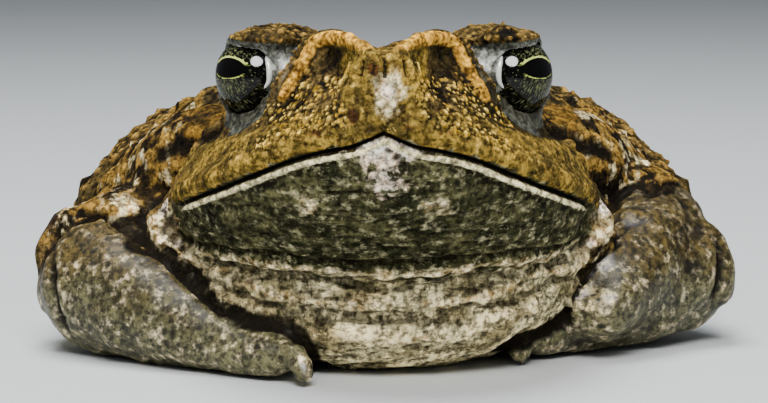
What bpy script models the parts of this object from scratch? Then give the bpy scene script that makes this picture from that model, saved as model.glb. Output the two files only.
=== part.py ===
"""Cane toad crouching on its belly, life size, snout towards -Y and standing on z = 0.

Head, trunk, glands, upper arms and thighs are laid over one another as clay, fused by a voxel remesh, smoothed,
given their warts and split again into parts with a thin gap. Jaw, forearms, hands, shanks and feet are fused each
on its own and trimmed where they press against the body.
Named sizes are in millimetres and are turned into metres as each mesh is made.
"""

import math
import random

import bmesh
import bpy
from mathutils import Matrix, Vector, kdtree

MM = 0.001
GAP = 0.34
SHARP_ANGLE = math.radians(50)
MARGIN = 1.5
FLOOR_DEPTH = 8.0
FLOOR_SIDE = 300.0
SIDES = (("right", -1), ("left", 1))

# Voxel size and smoothing rounds that each clay is fused with
BODY_CLAY = (0.7, 7)
REGION_CLAY = (0.9, 4)
CUTTER_CLAY = (0.9, 2)
JAW_CLAY = (0.9, 5)
FOREARM_CLAY = (0.7, 3)
HAND_CLAY = (0.4, 3)
SHANK_CLAY = (0.8, 4)
FOOT_CLAY = (0.45, 3)

# Triangles that each clay is thinned to
BODY_TRIANGLES = 5000
JAW_TRIANGLES = 420
FOREARM_TRIANGLES = 280
HAND_TRIANGLES = 420
SHANK_TRIANGLES = 280
FOOT_TRIANGLES = 500
HEAD_CUT = 420
LIMB_CUT = 140

# Eyes: a ball in an orbit, looking outwards, forwards and a little up
EYE_AT = Vector((15.7, -47.5, 38.4))
EYE_YAW = math.radians(46)
EYE_LIFT = math.radians(6)
EYE_RADIUS = 5.6
EYE_PROUD = 0.6
ORBIT_RADIUS = 6.5
LID_SCOOP_RADIUS = 7.4
LID_SCOOP_REACH = 9.2
LID_RADIUS = 1.2
LID_RING = 5.3
LID_OUT = 2.2

# Upper lids: a domed warty pad over each eye
BROW_AT = Vector((15.4, -47.6, 43.5))
BROW_RADII = (4.7, 6.0)
BROW_RIM = 0.9
BROW_DOME = 0.9
BROW_SLOPE = 0.11

# Parotoid glands: long cushions from behind the eye down over the shoulder
GLAND_AT = Vector((27.8, -15.0, 25.2))
GLAND_RADII = (9.0, 18.0, 5.8)
GLAND_ROLL = math.radians(33)
GLAND_YAW = math.radians(-20)
GLAND_PITCH = math.radians(-11)

# Head rings from the snout back: y, crown height, ridge (x, z), cheek (x, z), lip (x, z)
HEAD_RINGS = (
    (-74.8, 40.6, (1.8, 40.6), (3.0, 37.0), (3.0, 32.6)),
    (-73.2, 41.8, (2.8, 42.2), (5.2, 37.2), (7.4, 31.0)),
    (-69.0, 42.3, (4.0, 43.1), (8.0, 36.6), (13.4, 29.0)),
    (-63.0, 42.3, (5.2, 43.6), (11.2, 35.8), (18.8, 26.6)),
    (-57.0, 42.0, (6.6, 43.6), (14.2, 34.6), (22.5, 24.5)),
    (-50.0, 41.8, (8.4, 43.2), (18.4, 33.4), (25.5, 22.7)),
    (-43.0, 41.4, (9.8, 42.8), (21.6, 32.0), (27.5, 21.2)),
    (-37.0, 40.8, (11.0, 41.6), (23.4, 30.0), (28.8, 19.9)),
    (-30.0, 39.6, (12.4, 39.8), (24.0, 28.4), (28.8, 18.6)),
    (-22.0, 37.4, (12.4, 36.6), (21.6, 27.0), (24.0, 18.0)),
    (-15.0, 33.0, (10.0, 31.0), (16.0, 26.0), (17.0, 19.0)),
)
LIP_FOLD = 1.0

# Ridges of bone under the skin: snout to eye, before, over and behind the eye
RIDGES = (
    ((1.4, -73.8, 42.2, 1.2), (3.9, -68.0, 43.8, 1.3), (6.5, -59.6, 44.1, 1.5), (9.2, -57.0, 43.1, 1.5)),
    ((9.2, -57.0, 43.1, 1.5), (10.8, -58.4, 41.1, 1.4), (12.6, -59.2, 38.6, 1.4), (14.0, -58.8, 35.8, 1.3)),
    ((8.4, -56.4, 42.8, 1.2), (9.2, -50.0, 43.0, 1.3), (10.2, -42.4, 42.8, 1.3)),
    ((10.2, -42.4, 42.4, 1.3), (14.0, -40.8, 40.8, 1.2), (18.6, -40.0, 36.8, 1.2), (21.6, -39.4, 33.4, 1.1)),
)
ROSTRUM = ((0.0, -73.4, 40.8, 1.3), (0.0, -74.2, 37.6, 1.6), (0.0, -73.6, 34.8, 1.9))
CORNER_FOLD = ((28.4, -36.4, 19.4, 2.4), (28.2, -36.8, 16.2, 2.8), (25.6, -38.6, 13.4, 2.4))

# Hollows pressed into the face: centre, reach and depth
HOLLOWS = (
    ((6.6, -68.6, 40.4), 5.4, -1.5),
    ((22.6, -41.5, 33.0), 4.4, -0.9),
)

EARDRUM_AT = Vector((24.4, -37.0, 29.0))
EARDRUM_RADII = (2.4, 2.8)
EARDRUM_RIM = 0.55

NOSTRIL_AT = Vector((3.1, -73.4, 40.4))
NOSTRIL_RADII = (0.7, 1.9, 1.2)

# Jaw rings: y, half width, lip height, throat depth
JAW_RINGS = (
    (-74.0, 2.8, 33.2, 29.6),
    (-72.4, 7.6, 32.2, 26.4),
    (-69.0, 12.6, 30.6, 22.0),
    (-63.0, 18.2, 28.0, 16.6),
    (-57.0, 22.0, 26.0, 12.8),
    (-50.0, 25.2, 24.4, 10.4),
    (-43.0, 27.2, 22.8, 9.4),
    (-37.0, 28.0, 21.4, 9.0),
    (-30.0, 27.0, 20.6, 9.4),
    (-24.0, 22.0, 20.0, 11.0),
)

# Torso rings: y, half width, belly height, back height, height of the widest line, fullness above and below
TORSO_RINGS = (
    (-57.0, 8.0, 4.4, 10.0, 7.6, 2.0, 2.0),
    (-53.0, 17.0, 1.6, 14.0, 9.0, 2.0, 2.0),
    (-47.0, 22.5, -0.2, 20.0, 11.0, 1.9, 2.0),
    (-38.0, 27.5, -1.2, 29.0, 13.0, 1.7, 2.1),
    (-27.0, 33.0, -1.4, 35.0, 14.0, 1.5, 2.2),
    (-14.0, 38.5, -1.4, 37.6, 14.0, 1.4, 2.4),
    (2.0, 42.5, -1.4, 38.6, 14.0, 1.6, 2.5),
    (18.0, 42.5, -1.4, 38.4, 14.0, 1.8, 2.5),
    (34.0, 38.0, -1.4, 35.6, 14.0, 1.9, 2.5),
    (50.0, 28.0, -1.2, 29.6, 13.0, 2.0, 2.4),
    (63.0, 17.0, 0.2, 22.4, 11.6, 2.0, 2.2),
    (71.0, 9.6, 3.4, 16.6, 10.0, 2.0, 2.0),
    (75.0, 4.2, 6.6, 12.8, 9.6, 2.0, 2.0),
)
THROAT_FOLDS = (
    ((25.0, -40.0, 14.6, 2.0), (14.0, -52.6, 12.6, 2.2), (0.0, -57.6, 11.2, 2.3)),
    ((21.0, -42.0, 9.2, 2.0), (11.0, -52.4, 7.2, 2.2), (0.0, -56.0, 6.2, 2.3)),
)

# Arms: joints as (x, y, z, radius) with x outwards, then each finger's root, knuckle and tip
ARMS = {
    "right": {
        "upper": ((24.0, -9.0, 17.0, 10.0), (38.6, -26.0, 10.6, 9.2)),
        "elbow": (37.6, -33.0, 9.2, 9.2),
        "forearm": ((31.4, -40.6, 7.2, 7.3), (25.0, -46.8, 5.4, 5.4), (20.4, -51.2, 4.1, 4.0)),
        "wrist": (16.4, -55.0, 3.3, 3.0),
        "palm": (14.4, -56.6, 3.2, 2.9),
        "fingers": (
            ((13.2, -58.0, 3.4), (11.0, -59.8, 3.9), (9.9, -61.8, 1.5)),
            ((12.8, -56.4, 2.6), (11.0, -52.8, 2.9), (9.4, -48.6, 1.5)),
            ((14.2, -54.8, 2.6), (13.2, -50.2, 2.8), (12.0, -45.8, 1.4)),
            ((16.0, -54.2, 2.4), (16.2, -50.4, 2.4), (15.8, -46.8, 1.4)),
        ),
    },
    "left": {
        "upper": ((24.0, -7.0, 18.5, 10.2), (36.6, -16.0, 14.4, 9.3)),
        "elbow": (40.2, -22.4, 9.6, 8.5),
        "forearm": ((34.6, -28.2, 7.8, 7.3), (29.4, -32.6, 5.8, 5.5), (26.2, -35.2, 4.4, 4.2)),
        "wrist": (23.2, -37.8, 3.4, 3.0),
        "palm": (21.2, -39.4, 3.2, 2.9),
        "fingers": (
            ((20.2, -41.0, 3.3), (18.8, -43.2, 3.7), (17.9, -45.2, 1.5)),
            ((19.4, -39.6, 2.6), (16.6, -37.8, 2.9), (13.6, -35.4, 1.5)),
            ((20.2, -37.8, 2.6), (18.4, -33.8, 2.8), (16.2, -30.2, 1.4)),
            ((21.8, -36.8, 2.4), (21.4, -33.2, 2.4), (20.2, -29.8, 1.4)),
        ),
    },
}
FINGER_RADII = (1.8, 1.5, 1.6)

# Hind legs: joints as (x, y, z, radius) with x outwards, then each toe's root, knuckle and tip
THIGH = ((16.0, 51.0, 16.0, 12.6), (30.0, 36.0, 16.6, 12.4), (39.4, 20.0, 12.6, 8.6))
SHANK = ((40.6, 17.0, 11.2, 7.4), (40.4, 34.0, 11.0, 7.8), (37.0, 50.0, 8.6, 6.0), (34.6, 60.0, 6.8, 4.8))
TARSUS = ((34.6, 60.0, 6.4, 4.5), (36.4, 63.4, 4.4, 4.2), (40.6, 52.0, 3.4, 3.4), (43.0, 41.0, 2.8, 3.2))
TOES = (
    ((40.6, 39.4, 2.4), (37.6, 31.0, 2.0), (35.6, 26.0, 1.3)),
    ((41.8, 38.0, 2.4), (39.6, 26.0, 2.0), (38.0, 18.0, 1.3)),
    ((43.2, 37.4, 2.4), (42.6, 22.0, 2.0), (41.8, 10.0, 1.3)),
    ((44.8, 38.0, 2.4), (46.2, 23.0, 2.0), (46.2, 7.0, 1.3)),
    ((46.0, 39.8, 2.4), (48.0, 29.0, 2.0), (48.2, 20.0, 1.3)),
)
TOE_RADII = (1.9, 1.5, 1.5)
WEB_RADIUS = 0.8
WEB_SHARE = 0.62

# Warts: how many, radius and height
WART_SEED = 7
BACK_WARTS = (84, (2.6, 3.9), (1.4, 2.1))
FLANK_WARTS = (40, (2.0, 3.0), (0.9, 1.5))
CROWN_WARTS = (26, (1.3, 2.0), (0.5, 0.9))
SHANK_WARTS = (12, (1.7, 2.4), (0.6, 1.0))
WART_SPACING = 0.88

COLOURS = {
    "skin_back": ((0.25, 0.16, 0.07), 0.62),
    "skin_pale": ((0.46, 0.43, 0.34), 0.58),
    "skin_limb": ((0.33, 0.28, 0.18), 0.6),
    "gland": ((0.36, 0.2, 0.08), 0.6),
    "eye": ((0.01, 0.01, 0.008), 0.08),
}


def clear_scene():
    for obj in list(bpy.data.objects):
        bpy.data.objects.remove(obj)


def material(slot):
    colour, roughness = COLOURS[slot]
    made = bpy.data.materials.get(slot)
    if made is None:
        made = bpy.data.materials.new(slot)
        made.use_nodes = True
        shader = made.node_tree.nodes["Principled BSDF"]
        shader.inputs["Base Color"].default_value = (*colour, 1.0)
        shader.inputs["Roughness"].default_value = roughness
        shader.inputs["Metallic"].default_value = 0.0
    return made


def object_from(name, clay):
    """An object that holds the clay, in metres."""
    mesh = bpy.data.meshes.new(name)
    bmesh.ops.scale(clay, vec=(MM, MM, MM), verts=clay.verts)
    bmesh.ops.recalc_face_normals(clay, faces=clay.faces)
    clay.to_mesh(mesh)
    clay.free()
    obj = bpy.data.objects.new(name, mesh)
    bpy.context.scene.collection.objects.link(obj)
    return obj


def discard(*objects):
    for obj in objects:
        bpy.data.objects.remove(obj)


def applied(obj):
    """Replaces the object's mesh with what its modifiers make of it."""
    graph = bpy.context.evaluated_depsgraph_get()
    mesh = bpy.data.meshes.new_from_object(obj.evaluated_get(graph))
    obj.modifiers.clear()
    obj.data = mesh
    return obj


def add_modifier(obj, kind, **values):
    modifier = obj.modifiers.new(kind.title(), kind)
    for name, value in values.items():
        setattr(modifier, name, value)
    return modifier


def mirror_x(point, side):
    return (point[0] * side, *point[1:])


def ball(clay, centre, radii, turn=None, detail=3):
    """An ellipsoid laid on the clay."""
    made = bmesh.ops.create_icosphere(clay, subdivisions=detail, radius=1.0)
    turn = turn or Matrix.Identity(4)
    place = Matrix.Translation(centre) @ turn @ Matrix.Diagonal((*radii, 1.0))
    bmesh.ops.transform(clay, matrix=place, verts=made["verts"])


def hull(clay, stops, detail=2):
    """The skin stretched over several round stops, each (x, y, z, radius)."""
    shell = bmesh.new()
    for x, y, z, radius in stops:
        dots = bmesh.new()
        bmesh.ops.create_icosphere(dots, subdivisions=detail, radius=radius)
        for dot in dots.verts:
            shell.verts.new(dot.co + Vector((x, y, z)))
        dots.free()
    made = bmesh.ops.convex_hull(shell, input=list(shell.verts))
    loose = {v for v in made["geom_interior"] + made["geom_unused"] if isinstance(v, bmesh.types.BMVert)}
    bmesh.ops.delete(shell, geom=list(loose), context="VERTS")
    skin = bpy.data.meshes.new("hull")
    shell.to_mesh(skin)
    shell.free()
    clay.from_mesh(skin)
    bpy.data.meshes.remove(skin)


def limb(clay, stops, detail=2):
    """A tapered limb through stops (x, y, z, radius)."""
    for pair in zip(stops, stops[1:]):
        hull(clay, pair, detail)


def curve_through(points, steps, closed=False):
    """A smooth line through the points, with that many steps between neighbours."""
    count = len(points)
    line = []
    for i in range(count if closed else count - 1):
        if closed:
            a, b, c, d = (points[(i + k) % count] for k in (-1, 0, 1, 2))
        else:
            a, b, c, d = (points[min(max(i + k, 0), count - 1)] for k in (-1, 0, 1, 2))
        for step in range(steps):
            t = step / steps
            bend = (c - a) * t + (2 * a - 5 * b + 4 * c - d) * t**2 + (3 * b - a - 3 * c + d) * t**3
            line.append(b + bend / 2)
    if not closed:
        line.append(points[-1])
    return line


def loft(clay, rings, across=2, along=3):
    """A smooth closed body through rings of equal length."""
    round_rings = [curve_through(ring, across, closed=True) for ring in rings]
    columns = [curve_through(list(column), along) for column in zip(*round_rings)]
    loops = [[clay.verts.new(point) for point in ring] for ring in zip(*columns)]
    count = len(loops[0])
    for near, far in zip(loops, loops[1:]):
        for i in range(count):
            j = (i + 1) % count
            clay.faces.new((near[i], near[j], far[j], far[i]))
    clay.faces.new(loops[0])
    clay.faces.new(reversed(loops[-1]))


def mirrored(half):
    """A closed ring from the points of its +X half, top centre to bottom centre."""
    return half + [Vector((-p.x, p.y, p.z)) for p in reversed(half[1:-1])]


def oval_ring(y, half_width, bottom, top, waist, fullness_up, fullness_down, steps=8):
    """A ring whose upper and lower halves are superellipses that meet at the waist."""
    half = []
    for i in range(2 * steps + 1):
        angle = math.pi * i / (2 * steps)
        upper = angle < math.pi / 2
        rise = top - waist if upper else waist - bottom
        power = fullness_up if upper else fullness_down
        across = abs(math.sin(angle)) ** (2 / power)
        upward = math.copysign(abs(math.cos(angle)) ** (2 / power), math.cos(angle))
        half.append(Vector((half_width * across, y, waist + rise * upward)))
    half[0].x = half[-1].x = 0.0
    return mirrored(half)


def head_ring(y, crown, ridge, cheek, lip):
    """The head's ring: crown, ridge, cheek and the fold of the upper lip."""
    half = [
        Vector((0.0, y, crown)),
        Vector((ridge[0] * 0.5, y, crown + 0.2 * (ridge[1] - crown))),
        Vector((ridge[0], y, ridge[1])),
        Vector(((ridge[0] + cheek[0]) / 2, y, (ridge[1] + cheek[1]) / 2)),
        Vector((cheek[0], y, cheek[1])),
        Vector(((cheek[0] + lip[0]) / 2, y, (cheek[1] + lip[1]) / 2 + 1.0)),
        Vector((lip[0], y, lip[1] + 2.4 * LIP_FOLD)),
        Vector((lip[0] + 0.2 * LIP_FOLD, y, lip[1] + LIP_FOLD)),
        Vector((lip[0] - 0.8 * LIP_FOLD, y, lip[1])),
        Vector((lip[0] * 0.5, y, lip[1])),
        Vector((0.0, y, lip[1])),
    ]
    return mirrored(half)


def fuse(obj, voxel, smoothing):
    """Makes one smooth closed body of all that was laid over one another."""
    add_modifier(obj, "REMESH", mode="VOXEL", voxel_size=voxel * MM, adaptivity=0.0)
    add_modifier(obj, "SMOOTH", factor=0.5, iterations=smoothing)
    return applied(obj)


def thin(obj, faces):
    """Thins the mesh to about that many triangles."""
    now = sum(len(p.vertices) - 2 for p in obj.data.polygons)
    if faces < now:
        add_modifier(obj, "DECIMATE", ratio=faces / now, use_collapse_triangulate=True)
        applied(obj)
    return obj


def swell(obj, places):
    """Raises or presses in the surface round each (centre, reach, height), in millimetres."""
    verts = obj.data.vertices
    tree = kdtree.KDTree(len(verts))
    for v in verts:
        tree.insert(v.co, v.index)
    tree.balance()
    moves = {}
    for centre, reach, height in places:
        for _, index, away in tree.find_range(Vector(centre) * MM, reach * MM):
            move = height * (1 - (away / (reach * MM)) ** 2) ** 1.5
            moves[index] = max(moves.get(index, 0.0), move, key=abs)
    normals = {index: verts[index].normal.copy() for index in moves}
    for index, move in moves.items():
        verts[index].co += normals[index] * move * MM


def scattered(obj, chosen, kind, draw, taken=()):
    """Wart places on the vertices that chosen accepts, spread so that few touch."""
    count, radii, heights = kind
    spots = [v.co / MM for v in obj.data.vertices if chosen(v.co / MM, v.normal)]
    places = []
    for _ in range(count * 12):
        if len(places) == count or not spots:
            break
        radius = draw.uniform(*radii)
        spot = draw.choice(spots)
        others = [*places, *taken]
        if all((spot - other).length > WART_SPACING * (radius + wide) for other, wide, _ in others):
            places.append((spot, radius, draw.uniform(*heights)))
    return places


def boolean(obj, cutter, operation="DIFFERENCE"):
    add_modifier(obj, "BOOLEAN", operation=operation, object=cutter, solver="MANIFOLD")
    return applied(obj)


def trim(obj, neighbours):
    for other in neighbours:
        boolean(obj, other)


def keep_largest(obj):
    """Keeps the largest closed surface and drops loose scraps and sealed hollows."""
    clay = bmesh.new()
    clay.from_mesh(obj.data)
    left = set(clay.verts)
    groups = []
    while left:
        stack = [left.pop()]
        group = set(stack)
        while stack:
            for edge in stack.pop().link_edges:
                for v in edge.verts:
                    if v in left:
                        left.remove(v)
                        group.add(v)
                        stack.append(v)
        groups.append(group)
    groups.sort(key=len)
    for group in groups[:-1]:
        bmesh.ops.delete(clay, geom=list(group), context="VERTS")
    clay.to_mesh(obj.data)
    clay.free()


def copy_of(obj, name):
    copy = bpy.data.objects.new(name, obj.data.copy())
    bpy.context.scene.collection.objects.link(copy)
    return copy


def grown(obj, by=GAP):
    """A hidden copy of the body, larger all round, for trimming its neighbours."""
    copy = copy_of(obj, obj.name + "_grown")
    normals = [v.normal.copy() for v in copy.data.vertices]
    for v, normal in zip(copy.data.vertices, normals):
        v.co += normal * by * MM
    copy.hide_render = True
    copy.display_type = "WIRE"
    return copy


def joined(name, objects):
    """One mesh that holds all of these, for the remesh."""
    clay = bmesh.new()
    for obj in objects:
        clay.from_mesh(obj.data)
    mesh = bpy.data.meshes.new(name)
    clay.to_mesh(mesh)
    clay.free()
    whole = bpy.data.objects.new(name, mesh)
    bpy.context.scene.collection.objects.link(whole)
    return whole


def split_off(body, region, name, faces):
    """Takes the part of the body inside the region, and leaves a thin gap in the rest."""
    wide = grown(region, MARGIN)
    thin(fuse(wide, *CUTTER_CLAY), faces)
    wider = grown(wide)
    piece = copy_of(body, name)
    boolean(piece, wide, "INTERSECT")
    boolean(body, wider)
    discard(wide, wider)
    keep_largest(piece)
    keep_largest(body)
    return piece


def eye_frame(side):
    """The directions out of the eye, forwards along the lids, and up."""
    flat = math.cos(EYE_LIFT)
    out = Vector((side * math.sin(EYE_YAW) * flat, -math.cos(EYE_YAW) * flat, math.sin(EYE_LIFT)))
    up = (Vector((0.0, 0.0, 1.0)) - out * out.z).normalized()
    return out, up.cross(out) * side, up


def lay_orbit(clay, side):
    """The bulge round the eye, scooped out where the lids open, and its lower lid."""
    out, along, up = eye_frame(side)
    centre = Vector(mirror_x(EYE_AT, side))
    bulge = bmesh.new()
    ball(bulge, centre, (ORBIT_RADIUS,) * 3, detail=4)
    bulge = object_from("orbit", bulge)
    scoop = bmesh.new()
    ball(scoop, centre + out * LID_SCOOP_REACH, (LID_SCOOP_RADIUS,) * 3, detail=4)
    scoop = object_from("scoop", scoop)
    boolean(bulge, scoop)
    bulge.data.transform(Matrix.Scale(1 / MM, 4))
    clay.from_mesh(bulge.data)
    discard(bulge, scoop)
    lid = []
    for i in range(11):
        angle = math.radians(185 + 17 * i)
        rim = centre + out * LID_OUT + (along * math.cos(angle) + up * math.sin(angle)) * LID_RING
        lid.append((*rim, LID_RADIUS))
    limb(clay, lid)


def lay_brow(clay, side):
    """The upper lid: a domed pad with a rounded rim, lower at its outer end."""
    stops = []
    for i in range(12):
        angle = math.tau * i / 12
        x = BROW_RADII[0] * math.cos(angle)
        y = BROW_RADII[1] * math.sin(angle)
        stops.append((side * (BROW_AT.x + x), BROW_AT.y + y, BROW_AT.z - BROW_SLOPE * x, BROW_RIM))
    for share in (-0.45, 0.0, 0.45):
        y = BROW_AT.y + share * BROW_RADII[1]
        stops.append((side * (BROW_AT.x - 0.4), y, BROW_AT.z + BROW_DOME, BROW_RIM))
    hull(clay, stops)


def lay_eardrum(clay, side):
    """The eardrum: a thin disc with a raised rim, behind and below the eye."""
    centre = Vector(mirror_x(EARDRUM_AT, side))
    ball(clay, centre, (1.0, *EARDRUM_RADII))
    rim = []
    for i in range(13):
        angle = math.tau * i / 12
        y = centre.y + EARDRUM_RADII[0] * math.cos(angle)
        z = centre.z + EARDRUM_RADII[1] * math.sin(angle)
        rim.append((centre.x + side * 0.9, y, z, EARDRUM_RIM))
    limb(clay, rim, 1)


def make_head():
    """Skull, upper jaw, orbits, upper lids and ridges."""
    clay = bmesh.new()
    loft(clay, [head_ring(*ring) for ring in HEAD_RINGS])
    for _, side in SIDES:
        lay_orbit(clay, side)
        lay_brow(clay, side)
        lay_eardrum(clay, side)
        for stops in (*RIDGES, CORNER_FOLD):
            limb(clay, [mirror_x(stop, side) for stop in stops])
    limb(clay, ROSTRUM)
    return object_from("head", clay)


def cut_nostrils(head):
    """Slit nostrils on both sides of the top of the rostrum."""
    for _, side in SIDES:
        clay = bmesh.new()
        turn = Matrix.Rotation(side * math.radians(20), 4, "Y")
        ball(clay, mirror_x(NOSTRIL_AT, side), NOSTRIL_RADII, turn, detail=2)
        cutter = object_from("nostril", clay)
        boolean(head, cutter)
        discard(cutter)


def eye_ball(name, side, radius):
    clay = bmesh.new()
    centre = Vector(mirror_x(EYE_AT, side)) + eye_frame(side)[0] * EYE_PROUD
    ball(clay, centre, (radius,) * 3, detail=3)
    return object_from(name, clay)


def make_jaw():
    """Lower jaw with the throat sac under it."""
    clay = bmesh.new()
    rings = []
    for y, half_width, lip, depth in JAW_RINGS:
        rings.append(oval_ring(y, half_width, depth, lip + 1.0, lip - 1.6, 3.4, 2.2))
    loft(clay, rings)
    return object_from("lower_jaw", clay)


def make_torso():
    clay = bmesh.new()
    loft(clay, [oval_ring(*ring) for ring in TORSO_RINGS])
    for fold in THROAT_FOLDS:
        for _, side in SIDES:
            limb(clay, [mirror_x(stop, side) for stop in fold])
    return object_from("torso", clay)


def make_gland(name, side):
    clay = bmesh.new()
    yaw = Matrix.Rotation(side * GLAND_YAW, 4, "Z")
    pitch = Matrix.Rotation(GLAND_PITCH, 4, "X")
    roll = Matrix.Rotation(side * GLAND_ROLL, 4, "Y")
    ball(clay, mirror_x(GLAND_AT, side), GLAND_RADII, yaw @ pitch @ roll, detail=3)
    return object_from(name, clay)


def make_limb(name, stops, side):
    clay = bmesh.new()
    limb(clay, [mirror_x(stop, side) for stop in stops], 3)
    return object_from(name, clay)


def make_hand(word, side):
    """Hand with four fingers, resting on its finger tips."""
    arm = ARMS[word]
    clay = bmesh.new()
    palm = mirror_x(arm["palm"], side)
    limb(clay, [mirror_x(arm["wrist"], side), palm], 3)
    for joints in arm["fingers"]:
        stops = [(*mirror_x(joint, side), radius) for joint, radius in zip(joints, FINGER_RADII)]
        limb(clay, [palm, *stops])
    return object_from(f"hand_{word}", clay)


def make_foot(word, side):
    """Tarsus and five toes with webs between them."""
    clay = bmesh.new()
    tarsus = [mirror_x(stop, side) for stop in TARSUS]
    limb(clay, tarsus, 3)
    toes = [[Vector(mirror_x(joint, side)) for joint in toe] for toe in TOES]
    for toe in toes:
        limb(clay, [tarsus[-1], *((*joint, radius) for joint, radius in zip(toe, TOE_RADII))])
    for pair in zip(toes, toes[1:]):
        web = []
        for toe in pair:
            web.append((*toe[0], WEB_RADIUS))
            web.append((*toe[0].lerp(toe[1], WEB_SHARE), WEB_RADIUS))
        hull(clay, web, 1)
    return object_from(f"foot_{word}", clay)


def make_floor():
    clay = bmesh.new()
    bmesh.ops.create_cube(clay, size=1.0)
    bmesh.ops.scale(clay, vec=(FLOOR_SIDE, FLOOR_SIDE, FLOOR_DEPTH), verts=clay.verts)
    bmesh.ops.translate(clay, vec=(0.0, 0.0, -FLOOR_DEPTH / 2), verts=clay.verts)
    return object_from("floor", clay)


def add_body_warts(body, draw):
    """Large warts on back and flanks, small ones on crown and lids, none on the glands."""
    def on_gland(p):
        return abs(abs(p.x) - GLAND_AT.x) < GLAND_RADII[0] and abs(p.y - GLAND_AT.y) < GLAND_RADII[1]

    def on_back(p, n):
        return n.z > 0.55 and p.y > -22 and abs(p.x) < 34 and not on_gland(p)

    def on_flank(p, n):
        return -0.2 < n.z <= 0.75 and p.y > 0 and p.z > 16

    def on_crown(p, n):
        return n.z > 0.6 and p.z > 38 and -60 < p.y < -26

    warts = scattered(body, on_back, BACK_WARTS, draw)
    warts += scattered(body, on_flank, FLANK_WARTS, draw, warts)
    warts += scattered(body, on_crown, CROWN_WARTS, draw)
    swell(body, warts)


def finish(obj, slot, floor=None):
    """Flattens what would sink into the floor, keeps one closed body and gives it its material."""
    if floor and min(v.co.z for v in obj.data.vertices) < 0:
        boolean(obj, floor)
    keep_largest(obj)
    obj.data.materials.clear()
    obj.data.materials.append(material(slot))
    obj.data.shade_smooth()
    obj.data.set_sharp_from_angle(angle=SHARP_ANGLE)


def build():
    clear_scene()
    draw = random.Random(WART_SEED)
    floor = make_floor()

    regions = {}
    for word, side in SIDES:
        regions[f"parotoid_{word}"] = make_gland(f"parotoid_{word}_clay", side)
    regions["head"] = make_head()
    for word, side in SIDES:
        regions[f"upper_arm_{word}"] = make_limb(f"upper_arm_{word}_clay", ARMS[word]["upper"], side)
        regions[f"thigh_{word}"] = make_limb(f"thigh_{word}_clay", THIGH, side)
    trunk = make_torso()
    body = joined("torso", [*regions.values(), trunk])
    discard(trunk)
    fuse(body, *BODY_CLAY)
    swell(body, [(mirror_x(c, side), reach, depth) for c, reach, depth in HOLLOWS for _, side in SIDES])
    add_body_warts(body, draw)
    thin(body, BODY_TRIANGLES)
    body.name = "torso"

    pieces = {}
    for name, clay in regions.items():
        pieces[name] = split_off(body, fuse(clay, *REGION_CLAY), name, HEAD_CUT if name == "head" else LIMB_CUT)
        discard(clay)
    head_cutter = grown(pieces["head"])

    jaw = fuse(make_jaw(), *JAW_CLAY)
    thin(jaw, JAW_TRIANGLES)
    jaw_cutter = grown(jaw)
    trim(jaw, [head_cutter])

    for word, side in SIDES:
        cutter = eye_ball("socket", side, EYE_RADIUS + GAP)
        boolean(pieces["head"], cutter)
        discard(cutter)
        eye = eye_ball(f"eye_{word}", side, EYE_RADIUS)
        finish(eye, "eye")
    cut_nostrils(pieces["head"])

    for word, side in SIDES:
        arm = ARMS[word]
        lower = make_limb(f"forearm_{word}", [arm["elbow"], *arm["forearm"], arm["wrist"]], side)
        thin(fuse(lower, *FOREARM_CLAY), FOREARM_TRIANGLES)
        lower_cutter = grown(lower)
        hand = thin(fuse(make_hand(word, side), *HAND_CLAY), HAND_TRIANGLES)
        hand_cutter = grown(hand)
        trim(hand, [lower_cutter])
        for near in (body, jaw, pieces["head"], pieces[f"upper_arm_{word}"]):
            trim(near, [lower_cutter, hand_cutter])

        shank = fuse(make_limb(f"shank_{word}", SHANK, side), *SHANK_CLAY)
        swell(shank, scattered(shank, lambda p, n: n.z > 0.0, SHANK_WARTS, draw))
        thin(shank, SHANK_TRIANGLES)
        shank_cutter = grown(shank)
        foot = thin(fuse(make_foot(word, side), *FOOT_CLAY), FOOT_TRIANGLES)
        foot_cutter = grown(foot)
        trim(foot, [shank_cutter])
        for near in (body, pieces[f"thigh_{word}"]):
            trim(near, [shank_cutter, foot_cutter])
        discard(lower_cutter, hand_cutter, shank_cutter, foot_cutter)
        for part in (lower, hand, shank, foot):
            finish(part, "skin_limb", floor)

    trim(body, [jaw_cutter])
    for name, piece in pieces.items():
        piece.name = name
        slot = "gland" if name.startswith("parotoid") else "skin_limb" if "arm" in name else "skin_back"
        finish(piece, slot, floor)
    finish(jaw, "skin_pale", floor)
    finish(body, "skin_back", floor)
    discard(floor, jaw_cutter, head_cutter)


build()
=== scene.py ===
"""A cane toad crouching on a pale studio floor, seen from straight in front of its snout.

One skin is laid over all the flesh, pressed and raised stroke by stroke into lids, lips, folds and warts, and
given its colours by painted masks. The eyes are pieces of their own. Lengths in the tables are in millimetres,
and places are given as on the animal's left side, at +X, and mirrored for its right side.
"""
import itertools
import math
from collections import namedtuple

import bpy
import numpy as np
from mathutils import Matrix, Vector, kdtree, noise


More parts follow.
